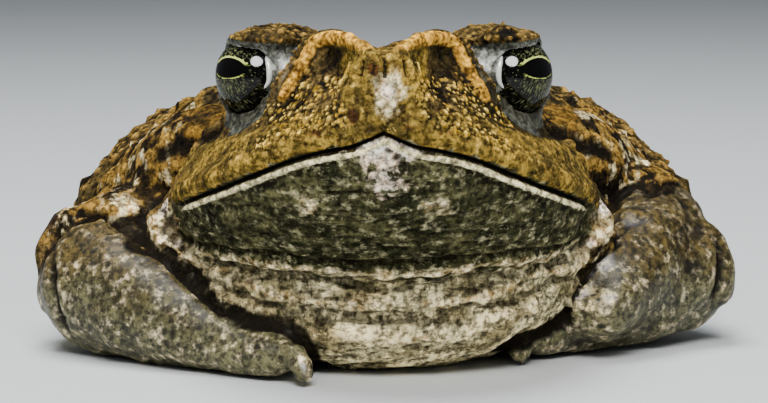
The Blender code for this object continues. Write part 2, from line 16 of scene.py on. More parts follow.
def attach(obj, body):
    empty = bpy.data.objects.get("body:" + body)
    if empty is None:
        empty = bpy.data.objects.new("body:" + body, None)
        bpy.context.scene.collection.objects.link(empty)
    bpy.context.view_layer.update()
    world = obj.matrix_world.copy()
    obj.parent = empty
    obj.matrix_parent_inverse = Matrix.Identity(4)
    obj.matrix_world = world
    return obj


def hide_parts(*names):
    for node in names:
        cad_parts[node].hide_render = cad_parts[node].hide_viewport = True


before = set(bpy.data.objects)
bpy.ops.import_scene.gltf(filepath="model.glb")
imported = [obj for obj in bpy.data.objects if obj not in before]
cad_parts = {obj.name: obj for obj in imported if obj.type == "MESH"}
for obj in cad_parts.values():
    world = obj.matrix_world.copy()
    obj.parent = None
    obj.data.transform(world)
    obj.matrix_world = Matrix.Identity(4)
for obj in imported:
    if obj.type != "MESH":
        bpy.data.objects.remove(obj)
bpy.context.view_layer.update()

MM = 0.001

# Sides of the animal, as signs of x
RIGHT = (-1,)
LEFT = (1,)
BOTH = (-1, 1)
EYES = {"eye_right": -1, "eye_left": 1}
FLESH = [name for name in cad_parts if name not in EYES]

# Photograph: camera distance from the snout, its pitch, and its focal length in pixels of a 768 wide picture
SNOUT = Vector((0.0, -0.075, 0.025))
CAMERA_AWAY = 0.350
CAMERA_PITCH = math.radians(6)
FOCAL_PIXELS = 2890.0
PICTURE_WIDTH = 768.0

# Eyes
EYE_AT = np.array((15.7, -47.5, 38.4))
EYE_YAW = math.radians(46)
EYE_LIFT = math.radians(6)
EYE_RADIUS = 5.6
EYE_PROUD = 0.6
LID_CLEARANCE = 0.12
BROW_EDGE = ((12.3, 15.0, 20.1), (41.4, 42.8, 43.4))

# Skin mesh: how far it stands off the solids, its coarse mesh size and its rounds of smoothing
SKIN_PROUD = 0.18
SKIN_VOXEL = 1.02
SKIN_SMOOTHING = 7
SEED = 11

# Line of the mouth from the snout to the corner
MOUTH = (
    (0.0, -74.8, 33.1), (0.5, -74.7, 32.9), (1.5, -74.4, 32.4), (4.1, -73.6, 31.4), (7.8, -72.5, 30.6),
    (11.5, -69.8, 29.4), (15.4, -65.6, 27.6), (19.4, -61.1, 25.6), (22.9, -54.8, 23.8), (26.1, -47.0, 21.9),
    (28.4, -40.0, 20.3),
)
MOUTH_REACH = 0.65
MOUTH_DEPTH = 0.95

# Strokes: name, line, reach, height, mask to paint, how strongly, and sides
STROKE_FADE = 0.15
# The strokes that paint the dark mask paint shade into the nostrils, slits, grooves, crevices and creases that
# they press in
STROKES = (
    ("canthal ridge", ((1.3, -73.4, 43.1), (3.8, -69.5, 44.2), (6.3, -63.8, 44.4), (8.3, -59.8, 43.8),
                       (9.2, -58.8, 43.0)), 1.35, 0.45, "ridge", 1.0, BOTH),
    ("preocular ridge", ((8.6, -59.2, 43.6), (9.6, -59.2, 41.5), (10.6, -59.8, 39.8), (11.8, -60.2, 38.0),
                         (13.0, -60.4, 35.7)), 1.25, 0.8, "ridge", 1.0, BOTH),
    ("ridge flank", ((11.2, -58.8, 42.6), (12.0, -58.9, 41.2), (12.9, -59.9, 39.2), (13.8, -59.7, 37.4),
                     (14.8, -59.0, 35.7)), 1.5, -0.8, "lid", 0.44, BOTH),
    ("loreal hollow", ((7.4, -61.0, 42.7), (6.6, -63.0, 41.4), (6.6, -65.0, 39.6), (7.6, -65.0, 38.0)),
     2.6, -0.7, "shade", 0.3, BOTH),
    ("nose pleat", ((5.1, -69.2, 41.7), (5.2, -70.6, 38.8)), 0.7, 0.4, "pearl", 0.75, BOTH),
    ("nose pleat", ((4.1, -71.2, 41.9), (4.1, -72.2, 38.8)), 0.6, 0.4, "pearl", 0.75, BOTH),
    ("nose pleat", ((3.3, -73.0, 41.4), (3.3, -73.4, 39.4)), 0.5, 0.25, "pearl", 0.5, BOTH),
    ("nostril", ((2.4, -73.6, 42.2), (2.6, -73.8, 41.2), (2.8, -74.0, 39.9)), 0.6, -0.6, "dark_and_shade", 0.3, BOTH),
    ("rostral ridge", ((1.5, -74.3, 42.6), (2.1, -74.6, 39.7), (1.9, -74.9, 36.7)), 0.8, 0.3, "lip", 1.0, BOTH),
    ("snout slit", ((0.0, -74.0, 42.6), (0.1, -74.4, 41.4), (0.1, -74.8, 39.8)), 0.6, -0.4, "dark_and_shade", 0.42, LEFT),
    ("snout patch", ((1.3, -74.4, 41.7), (1.5, -74.5, 40.2)), 1.0, -0.3, "rust", 0.9, RIGHT),
    ("cheek groove", ((20.6, -47.0, 32.2), (23.9, -39.1, 30.1), (27.9, -28.9, 27.7), (31.8, -23.6, 25.6)),
     2.2, -0.8, "dark_and_shade", 0.9, BOTH),
    ("cheek crest", ((15.5, -63.3, 32.4), (21.1, -52.3, 29.3), (27.2, -32.2, 24.8)),
     2.6, 0.4, "lip", 0.9, BOTH),
    ("upper lip", ((0.9, -74.9, 35.0), (6.6, -73.5, 33.4), (10.3, -71.4, 32.0), (14.0, -68.2, 30.4),
                   (18.0, -64.0, 28.4), (22.1, -58.0, 26.4), (25.1, -50.5, 24.4), (28.1, -41.7, 22.6)),
     1.9, 0.3, "lip", 1.0, BOTH),
    ("jaw corner fold", ((30.6, -37.2, 20.4), (31.2, -37.8, 18.0), (30.2, -39.0, 15.8), (27.4, -41.6, 14.2),
                         (22.8, -46.0, 13.4)), 3.0, 1.4, "cream", 0.6, RIGHT),
    ("jaw corner fold", ((29.4, -37.6, 20.4), (29.6, -38.6, 18.0), (28.4, -40.0, 15.8), (26.2, -42.6, 14.2),
                         (22.8, -46.0, 13.4)), 2.8, 0.8, "cream", 0.6, LEFT),
    ("crevice", ((42.8, -28.7, 18.9), (41.2, -28.7, 18.4), (38.9, -29.7, 17.8), (36.5, -33.6, 17.4),
                 (34.5, -36.7, 16.7), (32.5, -37.9, 15.5), (30.4, -40.6, 14.1), (28.4, -42.9, 12.5),
                 (26.4, -45.5, 11.0), (24.1, -48.1, 9.4), (21.3, -50.7, 7.7), (18.6, -52.8, 6.1)),
     1.5, -1.8, "dark_and_shade", 1.0, RIGHT),
    ("armpit", ((38.2, -30.3, 18.5), (36.4, -32.0, 18.0), (34.4, -34.0, 17.4), (32.6, -36.4, 16.5),
                (30.8, -39.4, 15.0)), 2.0, -1.3, "dark_and_shade", 0.75, RIGHT),
    ("crevice", ((44.6, -14.0, 21.6), (40.8, -19.0, 22.4), (38.4, -22.6, 21.8), (36.2, -25.6, 20.4)),
     1.1, -1.2, "dark_and_shade", 1.0, LEFT),
    ("chin fold", ((24.9, -42.5, 15.6), (19.9, -51.9, 15.4), (13.2, -58.2, 15.5), (6.8, -59.9, 14.9),
                   (0.0, -60.2, 14.4)), 1.7, 0.6, "cream", 0.55, BOTH),
    ("chin fold", ((24.3, -43.6, 13.4), (17.4, -51.9, 12.1), (9.5, -56.0, 10.3), (0.0, -59.3, 10.1)),
     1.4, 0.5, "cream", 0.55, BOTH),
    ("chin fold", ((20.8, -49.1, 10.0), (14.7, -54.0, 7.7), (8.2, -56.2, 5.8), (0.0, -57.6, 5.4)),
     1.3, 0.35, "cream", 0.4, BOTH),
    ("fold crease", ((25.6, -41.8, 14.7), (18.9, -52.0, 13.7), (11.4, -57.6, 12.7), (0.0, -60.0, 12.3)),
     0.9, -0.45, "dark_and_shade", 0.12, BOTH),
    ("fold crease", ((22.8, -46.0, 11.8), (16.2, -52.8, 9.9), (8.8, -56.1, 8.0), (0.0, -58.6, 7.8)),
     0.8, -0.35, "dark_and_shade", 0.1, BOTH),
    ("fold crease", ((23.4, -47.0, 17.2), (18.4, -54.4, 17.4), (12.6, -59.8, 17.0), (6.8, -61.6, 16.4),
                     (0.0, -62.0, 16.0)), 1.0, -0.55, "dark_and_shade", 0.3, BOTH),
    ("brow slope", ((19.0, -45.5, 45.4), (15.6, -48.6, 46.2), (11.6, -50.8, 45.8), (8.4, -53.0, 45.2)),
     4.2, -0.7, None, 0.0, BOTH),
    ("arm flap", ((42.6, -26.6, 19.8), (46.6, -28.0, 15.6), (47.6, -31.0, 10.0), (46.0, -31.0, 4.0)),
     3.0, 1.0, None, 0.0, RIGHT),
    ("arm flap", ((40.0, -20.0, 18.8), (44.6, -24.0, 15.6), (47.4, -25.7, 10.5), (46.6, -25.0, 4.6)),
     3.0, 0.8, None, 0.0, LEFT),
    ("flap shade", ((44.6, -28.0, 18.6), (46.6, -29.0, 15.8), (46.6, -32.0, 12.6), (46.4, -36.0, 9.2),
                    (45.8, -36.6, 6.0), (45.2, -35.0, 2.0)), 2.6, 0.0, "shade", 1.0, RIGHT),
    ("flap shade", ((46.6, -20.0, 15.6), (48.6, -24.0, 10.5), (47.8, -24.0, 3.0)),
     2.8, 0.0, "shade", 0.9, LEFT),
    ("arm groove", ((43.6, -29.2, 17.4), (44.9, -30.0, 15.5), (44.8, -36.3, 13.7), (44.4, -39.1, 10.0),
                    (43.5, -39.0, 5.9), (41.6, -37.1, 2.2)), 1.1, -0.8, "dark_and_shade", 0.6, RIGHT),
    ("arm groove", ((43.6, -17.0, 19.6), (44.6, -22.0, 17.6), (45.4, -25.6, 14.6), (45.6, -27.6, 10.4),
                    (45.0, -28.6, 5.4)), 1.1, -0.6, "dark_and_shade", 0.75, LEFT),
)

# Slack skin that bridges the left arm and the jaw's corner: centre and radius
BRIDGE = (
    ((39.6, -18.6, 19.2), 3.2), ((38.4, -22.4, 18.6), 3.8), ((37.2, -26.0, 17.0), 4.4),
    ((36.2, -29.4, 14.7), 5.0), ((34.7, -33.0, 12.0), 5.2), ((32.6, -37.0, 9.0), 5.0),
    ((29.6, -41.0, 6.4), 4.2),
)

# Thicker flesh in the upper lids, above the eyes
LID_PAD = ((17.4, -48.1, 43.4), 1.9)

# Painted spots: centre, reach along each axis, mask, strength and sides
DABS = (
    ((0.5, -75.4, 38.4), (1.7, 3.0, 1.9), "pink", 0.9, LEFT),
    ((0.6, -73.9, 31.4), (9.5, 5.0, 3.6), "pink", 1.0, LEFT),
    ((0.0, -72.6, 27.6), (6.0, 4.0, 6.0), "pink", 0.6, LEFT),
    ((9.7, -68.0, 24.2), (6.5, 7.0, 4.0), "cream", 0.5, RIGHT),
    ((6.6, -69.0, 24.2), (6.5, 7.0, 4.0), "cream", 0.5, LEFT),
    ((0.5, -75.4, 36.4), (1.8, 3.0, 4.0), "cream", 0.6, LEFT),
    ((0.5, -75.0, 38.0), (4.6, 5.0, 6.0), "cream", 0.82, LEFT),
    ((3.9, -74.4, 35.4), (1.7, 3.0, 2.2), "rust", 0.85, RIGHT),
    ((3.1, -74.6, 33.9), (2.8, 3.0, 1.4), "rust", 0.6, LEFT),
    ((8.4, -72.6, 33.2), (3.4, 3.0, 1.4), "rust", 0.6, BOTH),
    ((36.5, -27.2, 20.2), (3.2, 6.0, 2.4), "cream", 0.75, RIGHT),
    ((38.6, -29.2, 18.7), (2.6, 5.0, 2.0), "cream", 0.7, RIGHT),
    ((34.6, -28.1, 19.5), (2.8, 6.0, 2.8), "cream", 0.72, RIGHT),
    ((35.4, -23.6, 22.4), (3.0, 6.0, 2.4), "cream", 0.7, BOTH),
    ((36.8, -14.0, 24.4), (3.2, 8.0, 2.4), "cream", 0.68, BOTH),
    ((29.2, -39.5, 17.8), (4.6, 5.0, 4.6), "cream", 0.98, BOTH),
    ((38.4, -25.4, 20.9), (1.7, 6.0, 1.9), "dark_and_shade", 0.9, RIGHT),
    ((34.0, -29.7, 17.9), (1.6, 5.0, 2.0), "dark_and_shade", 0.9, RIGHT),
    ((32.0, -23.0, 18.6), (3.0, 6.0, 2.6), "cream", 0.7, LEFT),
    ((33.6, -20.0, 23.6), (2.4, 6.0, 3.0), "cream", 0.66, LEFT),
    ((33.0, -24.2, 22.4), (1.8, 6.0, 2.6), "dark_and_shade", 0.9, RIGHT),
    ((37.8, -14.0, 22.6), (2.0, 6.0, 2.4), "dark_and_shade", 0.9, RIGHT),
    ((40.0, 6.0, 23.4), (2.4, 8.0, 3.0), "dark_and_shade", 0.9, BOTH),
    ((29.6, -39.0, 20.5), (2.0, 3.0, 2.2), "pink", 1.0, BOTH),
    ((27.5, -41.4, 15.9), (1.8, 3.0, 1.4), "pink", 0.7, BOTH),
    ((10.4, -61.8, 3.0), (2.4, 3.0, 3.0), "cream", 0.7, RIGHT),
)

# Warts: their radii, spacing in radii, number, heights in radii, and depth of the groove round each
Warts = namedtuple("Warts", "radii spacing count heights groove")
PEARLS = (
    Warts((0.55, 0.9), 1.0, 90, (0.3, 0.5), 0.1),
    Warts((0.3, 0.5), 1.0, 260, (0.35, 0.6), 0.1),
)
BROW_WARTS = Warts((0.26, 0.58), 1.0, 900, (0.4, 0.6), 0.05)
FACE_WARTS = Warts((0.25, 0.45), 1.2, 600, (0.25, 0.4), 0.03)
BACK_WARTS = Warts((1.2, 2.0), 1.2, 220, (0.26, 0.42), 0.12)
SMALL_BACK_WARTS = Warts((0.6, 1.0), 1.1, 1500, (0.24, 0.42), 0.05)
GLAND_WARTS = Warts((0.8, 1.3), 0.95, 400, (0.12, 0.22), 0.12)
LIMB_WARTS = Warts((0.7, 1.1), 1.7, 260, (0.2, 0.35), 0.02)

# Wrinkles: size of their blotches, stretch of the noise, height, seed and octaves
THROAT_WAVES = (2.4, (0.45, 0.6, 1.3), 0.5, 5, 3)
CHIN_FOLDS = (1.5, (0.3, 0.35, 1.5), 0.55, 31, 2)
SLACK_SKIN = (5.0, (1.0, 1.0, 1.0), 0.6, 8, 2)

# Ear drums: centre, radius, height of the rim and depth of the disc
EAR_DRUM = (22.8, -39.2, 34.2)
EAR_DRUM_RADIUS = 2.1
EAR_RIM = 0.26
EAR_DISC = 0.25

# Pupil: half its length and half its height in eye radii, and how far up the eye looks
PUPIL = (0.47, 0.225)
GAZE_LIFT = math.radians(14)
CORNEA_RISE = 0.04

# Wet edge of the lid on each eyeball, a near-white tube painted as the reflection along it: how far towards the
# middle of the face and up from the eye's centre
LID_EDGE = ((1.0, 3.0), (1.2, 2.2), (1.4, 1.3), (1.45, 0.4), (1.3, -0.4), (0.8, -1.15))
LID_EDGE_RADIUS = 0.36
INNER_LID_HEIGHTS = (-1.9, 3.5)
INNER_LID_WIDTH = 2.6
INNER_LID_THICK = 0.16

# Colours in the 0 to 255 steps of a screen, where a pair is mixed by noise
TONES = {
    "back": ((46, 39, 19), (90, 73, 38)), "back patch": (20, 15, 7), "wart tip": (140, 110, 50),
    "gland": ((98, 73, 26), (42, 32, 12)),
    "flank": ((118, 92, 40), (24, 18, 10)), "flank blotch": (186, 172, 132),
    "limb": ((72, 70, 48), (62, 52, 24)), "limb fleck": (164, 152, 124), "limb patch": (40, 37, 22),
    "limb spot": (18, 17, 8), "limb dot": (24, 23, 11),
    "belly": ((206, 193, 150), (138, 126, 90)), "belly crease shade": (48, 43, 27), "belly streak": (50, 46, 30),
    "throat": ((29, 30, 16), (70, 68, 43)), "throat fleck": (142, 136, 104),
    "golden": ((138, 112, 46), (74, 61, 25)), "golden grain": (44, 30, 8), "golden light": (198, 168, 86),
    "cream": ((218, 204, 162), (136, 113, 70)), "rust": (80, 51, 22), "dark_and_shade": (15, 12, 7),
    "pearl": ((150, 116, 22), (192, 164, 82)), "bone": ((206, 156, 60), (110, 76, 26)),
    "silver": ((48, 50, 40), (94, 95, 84)), "silver grain": (32, 34, 26), "silver highlight": (158, 160, 152),
    "blush": ((255, 248, 228), (226, 200, 172)), "lip rim": (206, 196, 152), "shade": (52, 42, 26),
    "hollow_shade": (20, 15, 8), "mouth_edge_shade": (30, 21, 10), "mouth_shade": (8, 7, 5),
    "iris": (5, 5, 4), "iris fleck": (146, 152, 102), "pupil ring": (206, 218, 116),
    "lid edge glint": ((244, 246, 240), (200, 204, 196)), "floor": ((196, 202, 204), (206, 210, 212)),
}
# Painted highlight: the skin's colour is multiplied by this on its raised tops
TOP_LIGHT = (1.5, 1.45, 1.4, 1.0)

# Gloss: the dry skin's specular level, and the coat of the moist lids and limbs
DRY_SHINE = 0.025
MOIST_COAT = 0.33
MOIST_ROUGHNESS = 0.4

# Studio
FLOOR_SIZE = 6.0
SKY_COLOUR = (0.74, 0.80, 0.86, 1.0)
SKY_STRENGTH = 0.28

# Lights: name, place, target, size in metres, power, tint
LIGHTS = (
    ("softbox", (0.0, -0.62, 0.60), (0.0, -0.04, 0.03), (0.42, 0.36), 7.0, (1.0, 0.98, 0.95)),
    ("glint", (0.01, -0.62, 0.60), (0.0, -0.04, 0.03), (0.52, 0.44), 45.0, (1.0, 1.0, 1.0)),
    ("top", (-0.10, 0.00, 0.85), (0.0, -0.04, 0.03), (0.6, 0.5), 9.0, (1.0, 1.0, 1.0)),
)


def deselect():
    for obj in bpy.context.selected_objects:
        obj.select_set(False)


def pick(obj):
    deselect()
    obj.select_set(True)
    bpy.context.view_layer.objects.active = obj


def apply_modifier(obj, kind, **values):
    pick(obj)
    modifier = obj.modifiers.new(kind.title(), kind)
    for name, value in values.items():
        setattr(modifier, name, value)
    bpy.ops.object.modifier_apply(modifier=modifier.name)


# Mesh arrays

def places(obj):
    """The vertices' places in millimetres."""
    flat = np.empty(len(obj.data.vertices) * 3, np.float32)
    obj.data.vertices.foreach_get("co", flat)
    return flat.reshape(-1, 3).astype(float) / MM


def directions(obj):
    flat = np.empty(len(obj.data.vertices) * 3, np.float32)
    obj.data.vertices.foreach_get("normal", flat)
    return flat.reshape(-1, 3).astype(float)


def put(obj, points):
    obj.data.vertices.foreach_set("co", (points * MM).astype(np.float32).ravel())
    obj.data.update()


def smooth_step(low, high, value):
    t = np.clip((value - low) / (high - low), 0.0, 1.0)
    return t * t * (3 - 2 * t)


def mirrored_x(line, side):
    return [(point[0] * side, *point[1:]) for point in line]


def curve_through(points, steps=6):
    """A smooth line through the points."""
    points = [np.array(point, float) for point in points]
    line = []
    for i in range(len(points) - 1):
        a, b, c, d = (points[min(max(i + k, 0), len(points) - 1)] for k in (-1, 0, 1, 2))
        for step in range(steps):
            t = step / steps
            bend = (c - a) * t + (2 * a - 5 * b + 4 * c - d) * t**2 + (3 * b - a - 3 * c + d) * t**3
            line.append(b + bend / 2)
    line.append(points[-1])
    return np.array(line)


def away_from_line(points, line, reach):
    """Distance of each point from the line, and how far along it the nearest place lies, from 0 to 1."""
    away = np.full(len(points), np.inf)
    along = np.zeros(len(points))
    low = line.min(axis=0) - reach
    high = line.max(axis=0) + reach
    near = np.flatnonzero(((points > low) & (points < high)).all(axis=1))
    if not len(near):
        return away, along
    spots = points[near]
    best = np.full(len(near), np.inf)
    where = np.zeros(len(near))
    count = len(line) - 1
    for i in range(count):
        start, step = line[i], line[i + 1] - line[i]
        t = np.clip((spots - start) @ step / max(step @ step, 1e-9), 0.0, 1.0)
        gap = np.linalg.norm(spots - start - t[:, None] * step, axis=1)
        closer = gap < best
        best[closer] = gap[closer]
        where[closer] = (i + t[closer]) / count
    away[near] = best
    along[near] = where
    return away, along


def tree_of(points):
    tree = kdtree.KDTree(len(points))
    for index, point in enumerate(points):
        tree.insert(point, index)
    tree.balance()
    return tree


def cloud(points, size, seed=0, octaves=3):
    """Soft noise between 0 and 1 whose blotches are about size across."""
    shift = Vector((seed * 17.3, seed * 5.1, seed * 9.7))
    values = [noise.fractal(Vector(point) / size + shift, 0.6, 2.0, octaves) for point in points]
    return np.clip(np.array(values) * 0.55 + 0.5, 0.0, 1.0)


# Skin base

def lay_skin():
    """Copies the flesh, swells it until its gaps close and fuses it into one surface."""
    deselect()
    copies = []
    for name in FLESH:
        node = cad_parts[name]
        copy = bpy.data.objects.new("skin_" + name, node.data.copy())
        copy.matrix_world = node.matrix_world
        bpy.context.scene.collection.objects.link(copy)
        copies.append(copy)
    for copy in copies:
        pick(copy)
        bpy.ops.object.mode_set(mode="EDIT")
        bpy.ops.mesh.select_all(action="SELECT")
        bpy.ops.mesh.remove_doubles(threshold=0.00001)
        bpy.ops.object.mode_set(mode="OBJECT")
        put(copy, places(copy) + directions(copy) * SKIN_PROUD)
    pads = BRIDGE + tuple((tuple(mirrored_x((LID_PAD[0],), side)[0]), LID_PAD[1]) for side in BOTH)
    for centre, radius in pads:
        bpy.ops.mesh.primitive_uv_sphere_add(segments=24, ring_count=12, radius=radius * MM,
                                             location=[value * MM for value in centre])
        copies.append(bpy.context.object)
    deselect()
    for copy in copies:
        copy.select_set(True)
    skin = copies[0]
    bpy.context.view_layer.objects.active = skin
    bpy.ops.object.join()
    skin.name = "skin"
    skin.data.name = "skin"
    apply_modifier(skin, "REMESH", mode="VOXEL", voxel_size=SKIN_VOXEL * MM, adaptivity=0.0)
    return skin


def select_faces(obj, marked):
    """Goes into edit mode with the faces selected whose corners are all marked."""
    pick(obj)
    bpy.ops.object.mode_set(mode="EDIT")
    bpy.ops.mesh.select_all(action="DESELECT")
    bpy.ops.mesh.select_mode(type="FACE")
    bpy.ops.object.mode_set(mode="OBJECT")
    for polygon in obj.data.polygons:
        polygon.select = all(marked[v] for v in polygon.vertices)
    bpy.ops.object.mode_set(mode="EDIT")


def refine(skin, marked):
    """Cuts each face whose corners are all marked into four."""
    select_faces(skin, marked)
    bpy.ops.mesh.subdivide(number_cuts=1, smoothness=0.0)
    bpy.ops.object.mode_set(mode="OBJECT")


def face_region(points):
    """The face as the camera sees it, and the throat."""
    x, y, z = points.T
    face = (y < -40) & (z > 14 - 0.4 * (y + 75)) & (z > 8)
    return face & (np.abs(x) < 33)


def eye_frame(side, lift=EYE_LIFT):
    """The directions out of the eye, back along the lids, and up."""
    flat = math.cos(lift)
    out = np.array((side * math.sin(EYE_YAW) * flat, -math.cos(EYE_YAW) * flat, math.sin(lift)))
    up = np.array((0.0, 0.0, 1.0)) - out * out[2]
    up /= np.linalg.norm(up)
    along = np.cross(up, out) * side
    return out, along, up


def eye_centre(side):
    return EYE_AT * (side, 1, 1) + eye_frame(side)[0] * EYE_PROUD


def from_eye(points, side):
    """How far each point is from the eye's centre, and how far out, backwards and up from it."""
    out, along, up = eye_frame(side)
    offset = points - eye_centre(side)
    return np.linalg.norm(offset, axis=1), offset @ out, offset @ along, offset @ up


def fine_region(points):
    """The lids, the snout and the line of the mouth, which are cut a second time."""
    x, y, z = points.T
    chosen = (y < -56) & (np.abs(x) < 15.5) & (z > lip_height(x) + 0.5) & (z < 44)
    for side in BOTH:
        away, outwards, _, _ = from_eye(points, side)
        chosen |= (away < EYE_RADIUS + 2.2) & (outwards > -1.5)
        away, _ = away_from_line(points, curve_through(mirrored_x(MOUTH, side)), 1.6)
        chosen |= away < 1.6
    return chosen


class Clay:
    """The skin's vertices while they are pressed and raised, with the masks that its colours follow."""

    masks = (
        "pale", "limb", "gland", "dark_and_shade", "ridge", "lip", "cream", "pearl", "lid",
        "throat", "pink", "rust", "mouth_shade", "rim", "tip", "cavity", "brown", "shade", "flank",
    )

    def __init__(self, obj):
        self.obj = obj
        self.read()
        self.mask = {name: np.zeros(len(self.points)) for name in self.masks}
        flat = np.empty(len(obj.data.edges) * 2, np.int32)
        obj.data.edges.foreach_get("vertices", flat)
        self.edges = flat.reshape(-1, 2)
        self.valence = np.maximum(np.bincount(flat, minlength=len(self.points)), 1)

    def read(self):
        self.points = places(self.obj)
        self.normals = directions(self.obj)

    def settle(self):
        """Writes the places back, so that later strokes follow the new surface."""
        put(self.obj, self.points)
        self.read()

    def push(self, amount):
        """Moves the vertices out along their normals, or in where the amount is negative."""
        self.points += self.normals * amount[:, None]

    def paint(self, name, amount):
        self.mask[name] = np.maximum(self.mask[name], amount)

    def soften(self, values, rounds):
        """Averages values with those of the neighbouring vertices."""
        count = len(self.points)
        first, second = self.edges.T
        for _ in range(rounds):
            total = np.bincount(first, values[second], count) + np.bincount(second, values[first], count)
            values = 0.5 * values + 0.5 * total / self.valence
        return values

    def on_surface(self, line):
        """The smooth line through the points, laid onto the surface."""
        laid = []
        for point in curve_through(line):
            found, spot, _, _ = self.obj.closest_point_on_mesh(Vector(point) * MM)
            laid.append(np.array(spot) / MM if found else point)
        return np.array(laid)

    def stroke(self, line, reach, height, mask, strength, sides):
        """Raises or presses the surface along a line, less towards ends that lie off the middle."""
        for side in sides:
            away, along = away_from_line(self.points, self.on_surface(mirrored_x(line, side)), reach)
            inside = np.clip(1 - (away / reach) ** 2, 0.0, 1.0) ** 2
            start = smooth_step(0.0, STROKE_FADE, along) if line[0][0] else 1.0
            end = smooth_step(1.0, 1.0 - STROKE_FADE, along) if line[-1][0] else 1.0
            shape = inside * start * end
            self.push(height * shape)
            if mask:
                self.paint(mask, strength * np.sqrt(shape))

    def scatter(self, weight, kind, draw):
        """Seeded wart places on the vertices, likelier where weight is high, none closer than the spacing."""
        order = draw.permutation(np.flatnonzero(weight > 0))
        order = order[draw.random(len(order)) < weight[order]]
        size = 2 * kind.radii[1] * kind.spacing
        cells = {}
        taken = []
        for index in order:
            if len(taken) == kind.count:
                break
            point = self.points[index]
            radius = draw.uniform(*kind.radii)
            cell = tuple(int(value) for value in point // size)
            near = []
            for i, j, k in itertools.product((-1, 0, 1), repeat=3):
                near += cells.get((cell[0] + i, cell[1] + j, cell[2] + k), [])
            if all(np.linalg.norm(point - spot) > kind.spacing * (radius + wide) for spot, wide in near):
                cells.setdefault(cell, []).append((point, radius))
                taken.append((index, radius))
        return taken

    def grow_warts(self, weight, kind, draw, mask=None):
        """Raises round warts with a fine groove round each, and returns where their tops and grooves are."""
        tree = tree_of(self.points)
        rise = np.zeros(len(self.points))
        tops = np.zeros(len(self.points))
        rims = np.zeros(len(self.points))
        for index, radius in self.scatter(weight, kind, draw):
            height = draw.uniform(*kind.heights) * radius
            for _, vertex, away in tree.find_range(self.points[index], radius * 1.5):
                t = away / radius
                if t < 1:
                    dome = (1 - t * t) ** 1.2
                    rise[vertex] = max(rise[vertex], height * dome)
                    tops[vertex] = max(tops[vertex], dome)
                rims[vertex] = max(rims[vertex], max(0.0, 1 - abs(t - 1.1) / 0.4))
        rims = np.where(tops > 0.2, 0.0, rims)
        self.push(rise - kind.groove * rims)
        if mask:
            self.paint(mask, tops)
        return tops, rims


def nearest_node(points):
    """Number of the CAD node whose surface lies nearest to each point."""
    spots = []
    owners = []
    for number, name in enumerate(FLESH):
        own = places(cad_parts[name])
        spots.append(own)
        owners += [number] * len(own)
    tree = tree_of(np.concatenate(spots))
    return np.array([owners[tree.find(point)[1]] for point in points])


# Colour zones

def paint_zones(clay):
    x, y, z = clay.points.T
    up = clay.normals[:, 2]
    nearest = nearest_node(clay.points)
    soft = {}
    for number, name in enumerate(FLESH):
        soft[name] = clay.soften((nearest == number).astype(float), 6)

    def zone(*words):
        return sum(value for name, value in soft.items() if any(word in name for word in words))

    below_seam = smooth_step(22.4, 20.8, z)
    limbs = zone("forearm", "hand", "shank", "foot") + zone("upper_arm_left") * below_seam
    clay.mask["limb"] = clay.soften(limbs, 6)
    for centre, radius in BRIDGE:
        away = np.linalg.norm(clay.points - centre, axis=1)
        clay.paint("limb", smooth_step(radius + 1.4, radius + 0.4, away) * below_seam)
    clay.mask["gland"] = zone("parotoid")
    clay.mask["throat"] = clay.soften(zone("lower_jaw"), 6)
    belly = smooth_step(17, 7, z + 4 * (cloud(clay.points, 9, 3) - 0.5) * 2) * smooth_step(0.35, -0.25, up)
    front = smooth_step(-30, -38, y) * smooth_step(28, 20, z) * zone("torso", "lower_jaw")
    clay.mask["pale"] = np.clip(np.maximum(belly * (1 - clay.mask["limb"]), front), 0, 1)
    beside_head = smooth_step(24, 30, np.abs(x)) * smooth_step(38, 31, z)
    beside_head *= smooth_step(12, 16, z) * smooth_step(34, 14, y)
    clay.mask["flank"] = beside_head * (zone("torso", "upper_arm", "parotoid") * (1 - clay.mask["limb"]))
    return zone


# Face

def ease_bridge(clay):
    """Draws the bridge beside the left arm into one smooth slope."""
    near = np.zeros(len(clay.points))
    for centre, radius in BRIDGE:
        away = np.linalg.norm(clay.points - centre, axis=1)
        near = np.maximum(near, smooth_step(radius + 4.5, radius + 1.0, away))
    near *= smooth_step(0.4, 0.9, clay.mask["limb"])
    calm = np.stack([clay.soften(axis, 40) for axis in clay.points.T], axis=1)
    clay.points += (calm - clay.points) * near[:, None]
    clay.settle()


def clear_eyes(clay, margin):
    """Moves the skin out of the eyeballs, and leaves the upper lid thicker above them."""
    for side in BOTH:
        centre = eye_centre(side)
        away, outwards, _, height = from_eye(clay.points, side)
        keep_off = EYE_RADIUS + LID_CLEARANCE + 0.4 * smooth_step(3.4, 4.4, height)
        inside = (away < keep_off + margin) & (outwards > -4.5)
        clay.points[inside] = centre + (clay.points - centre)[inside] * (keep_off / away)[inside, None]


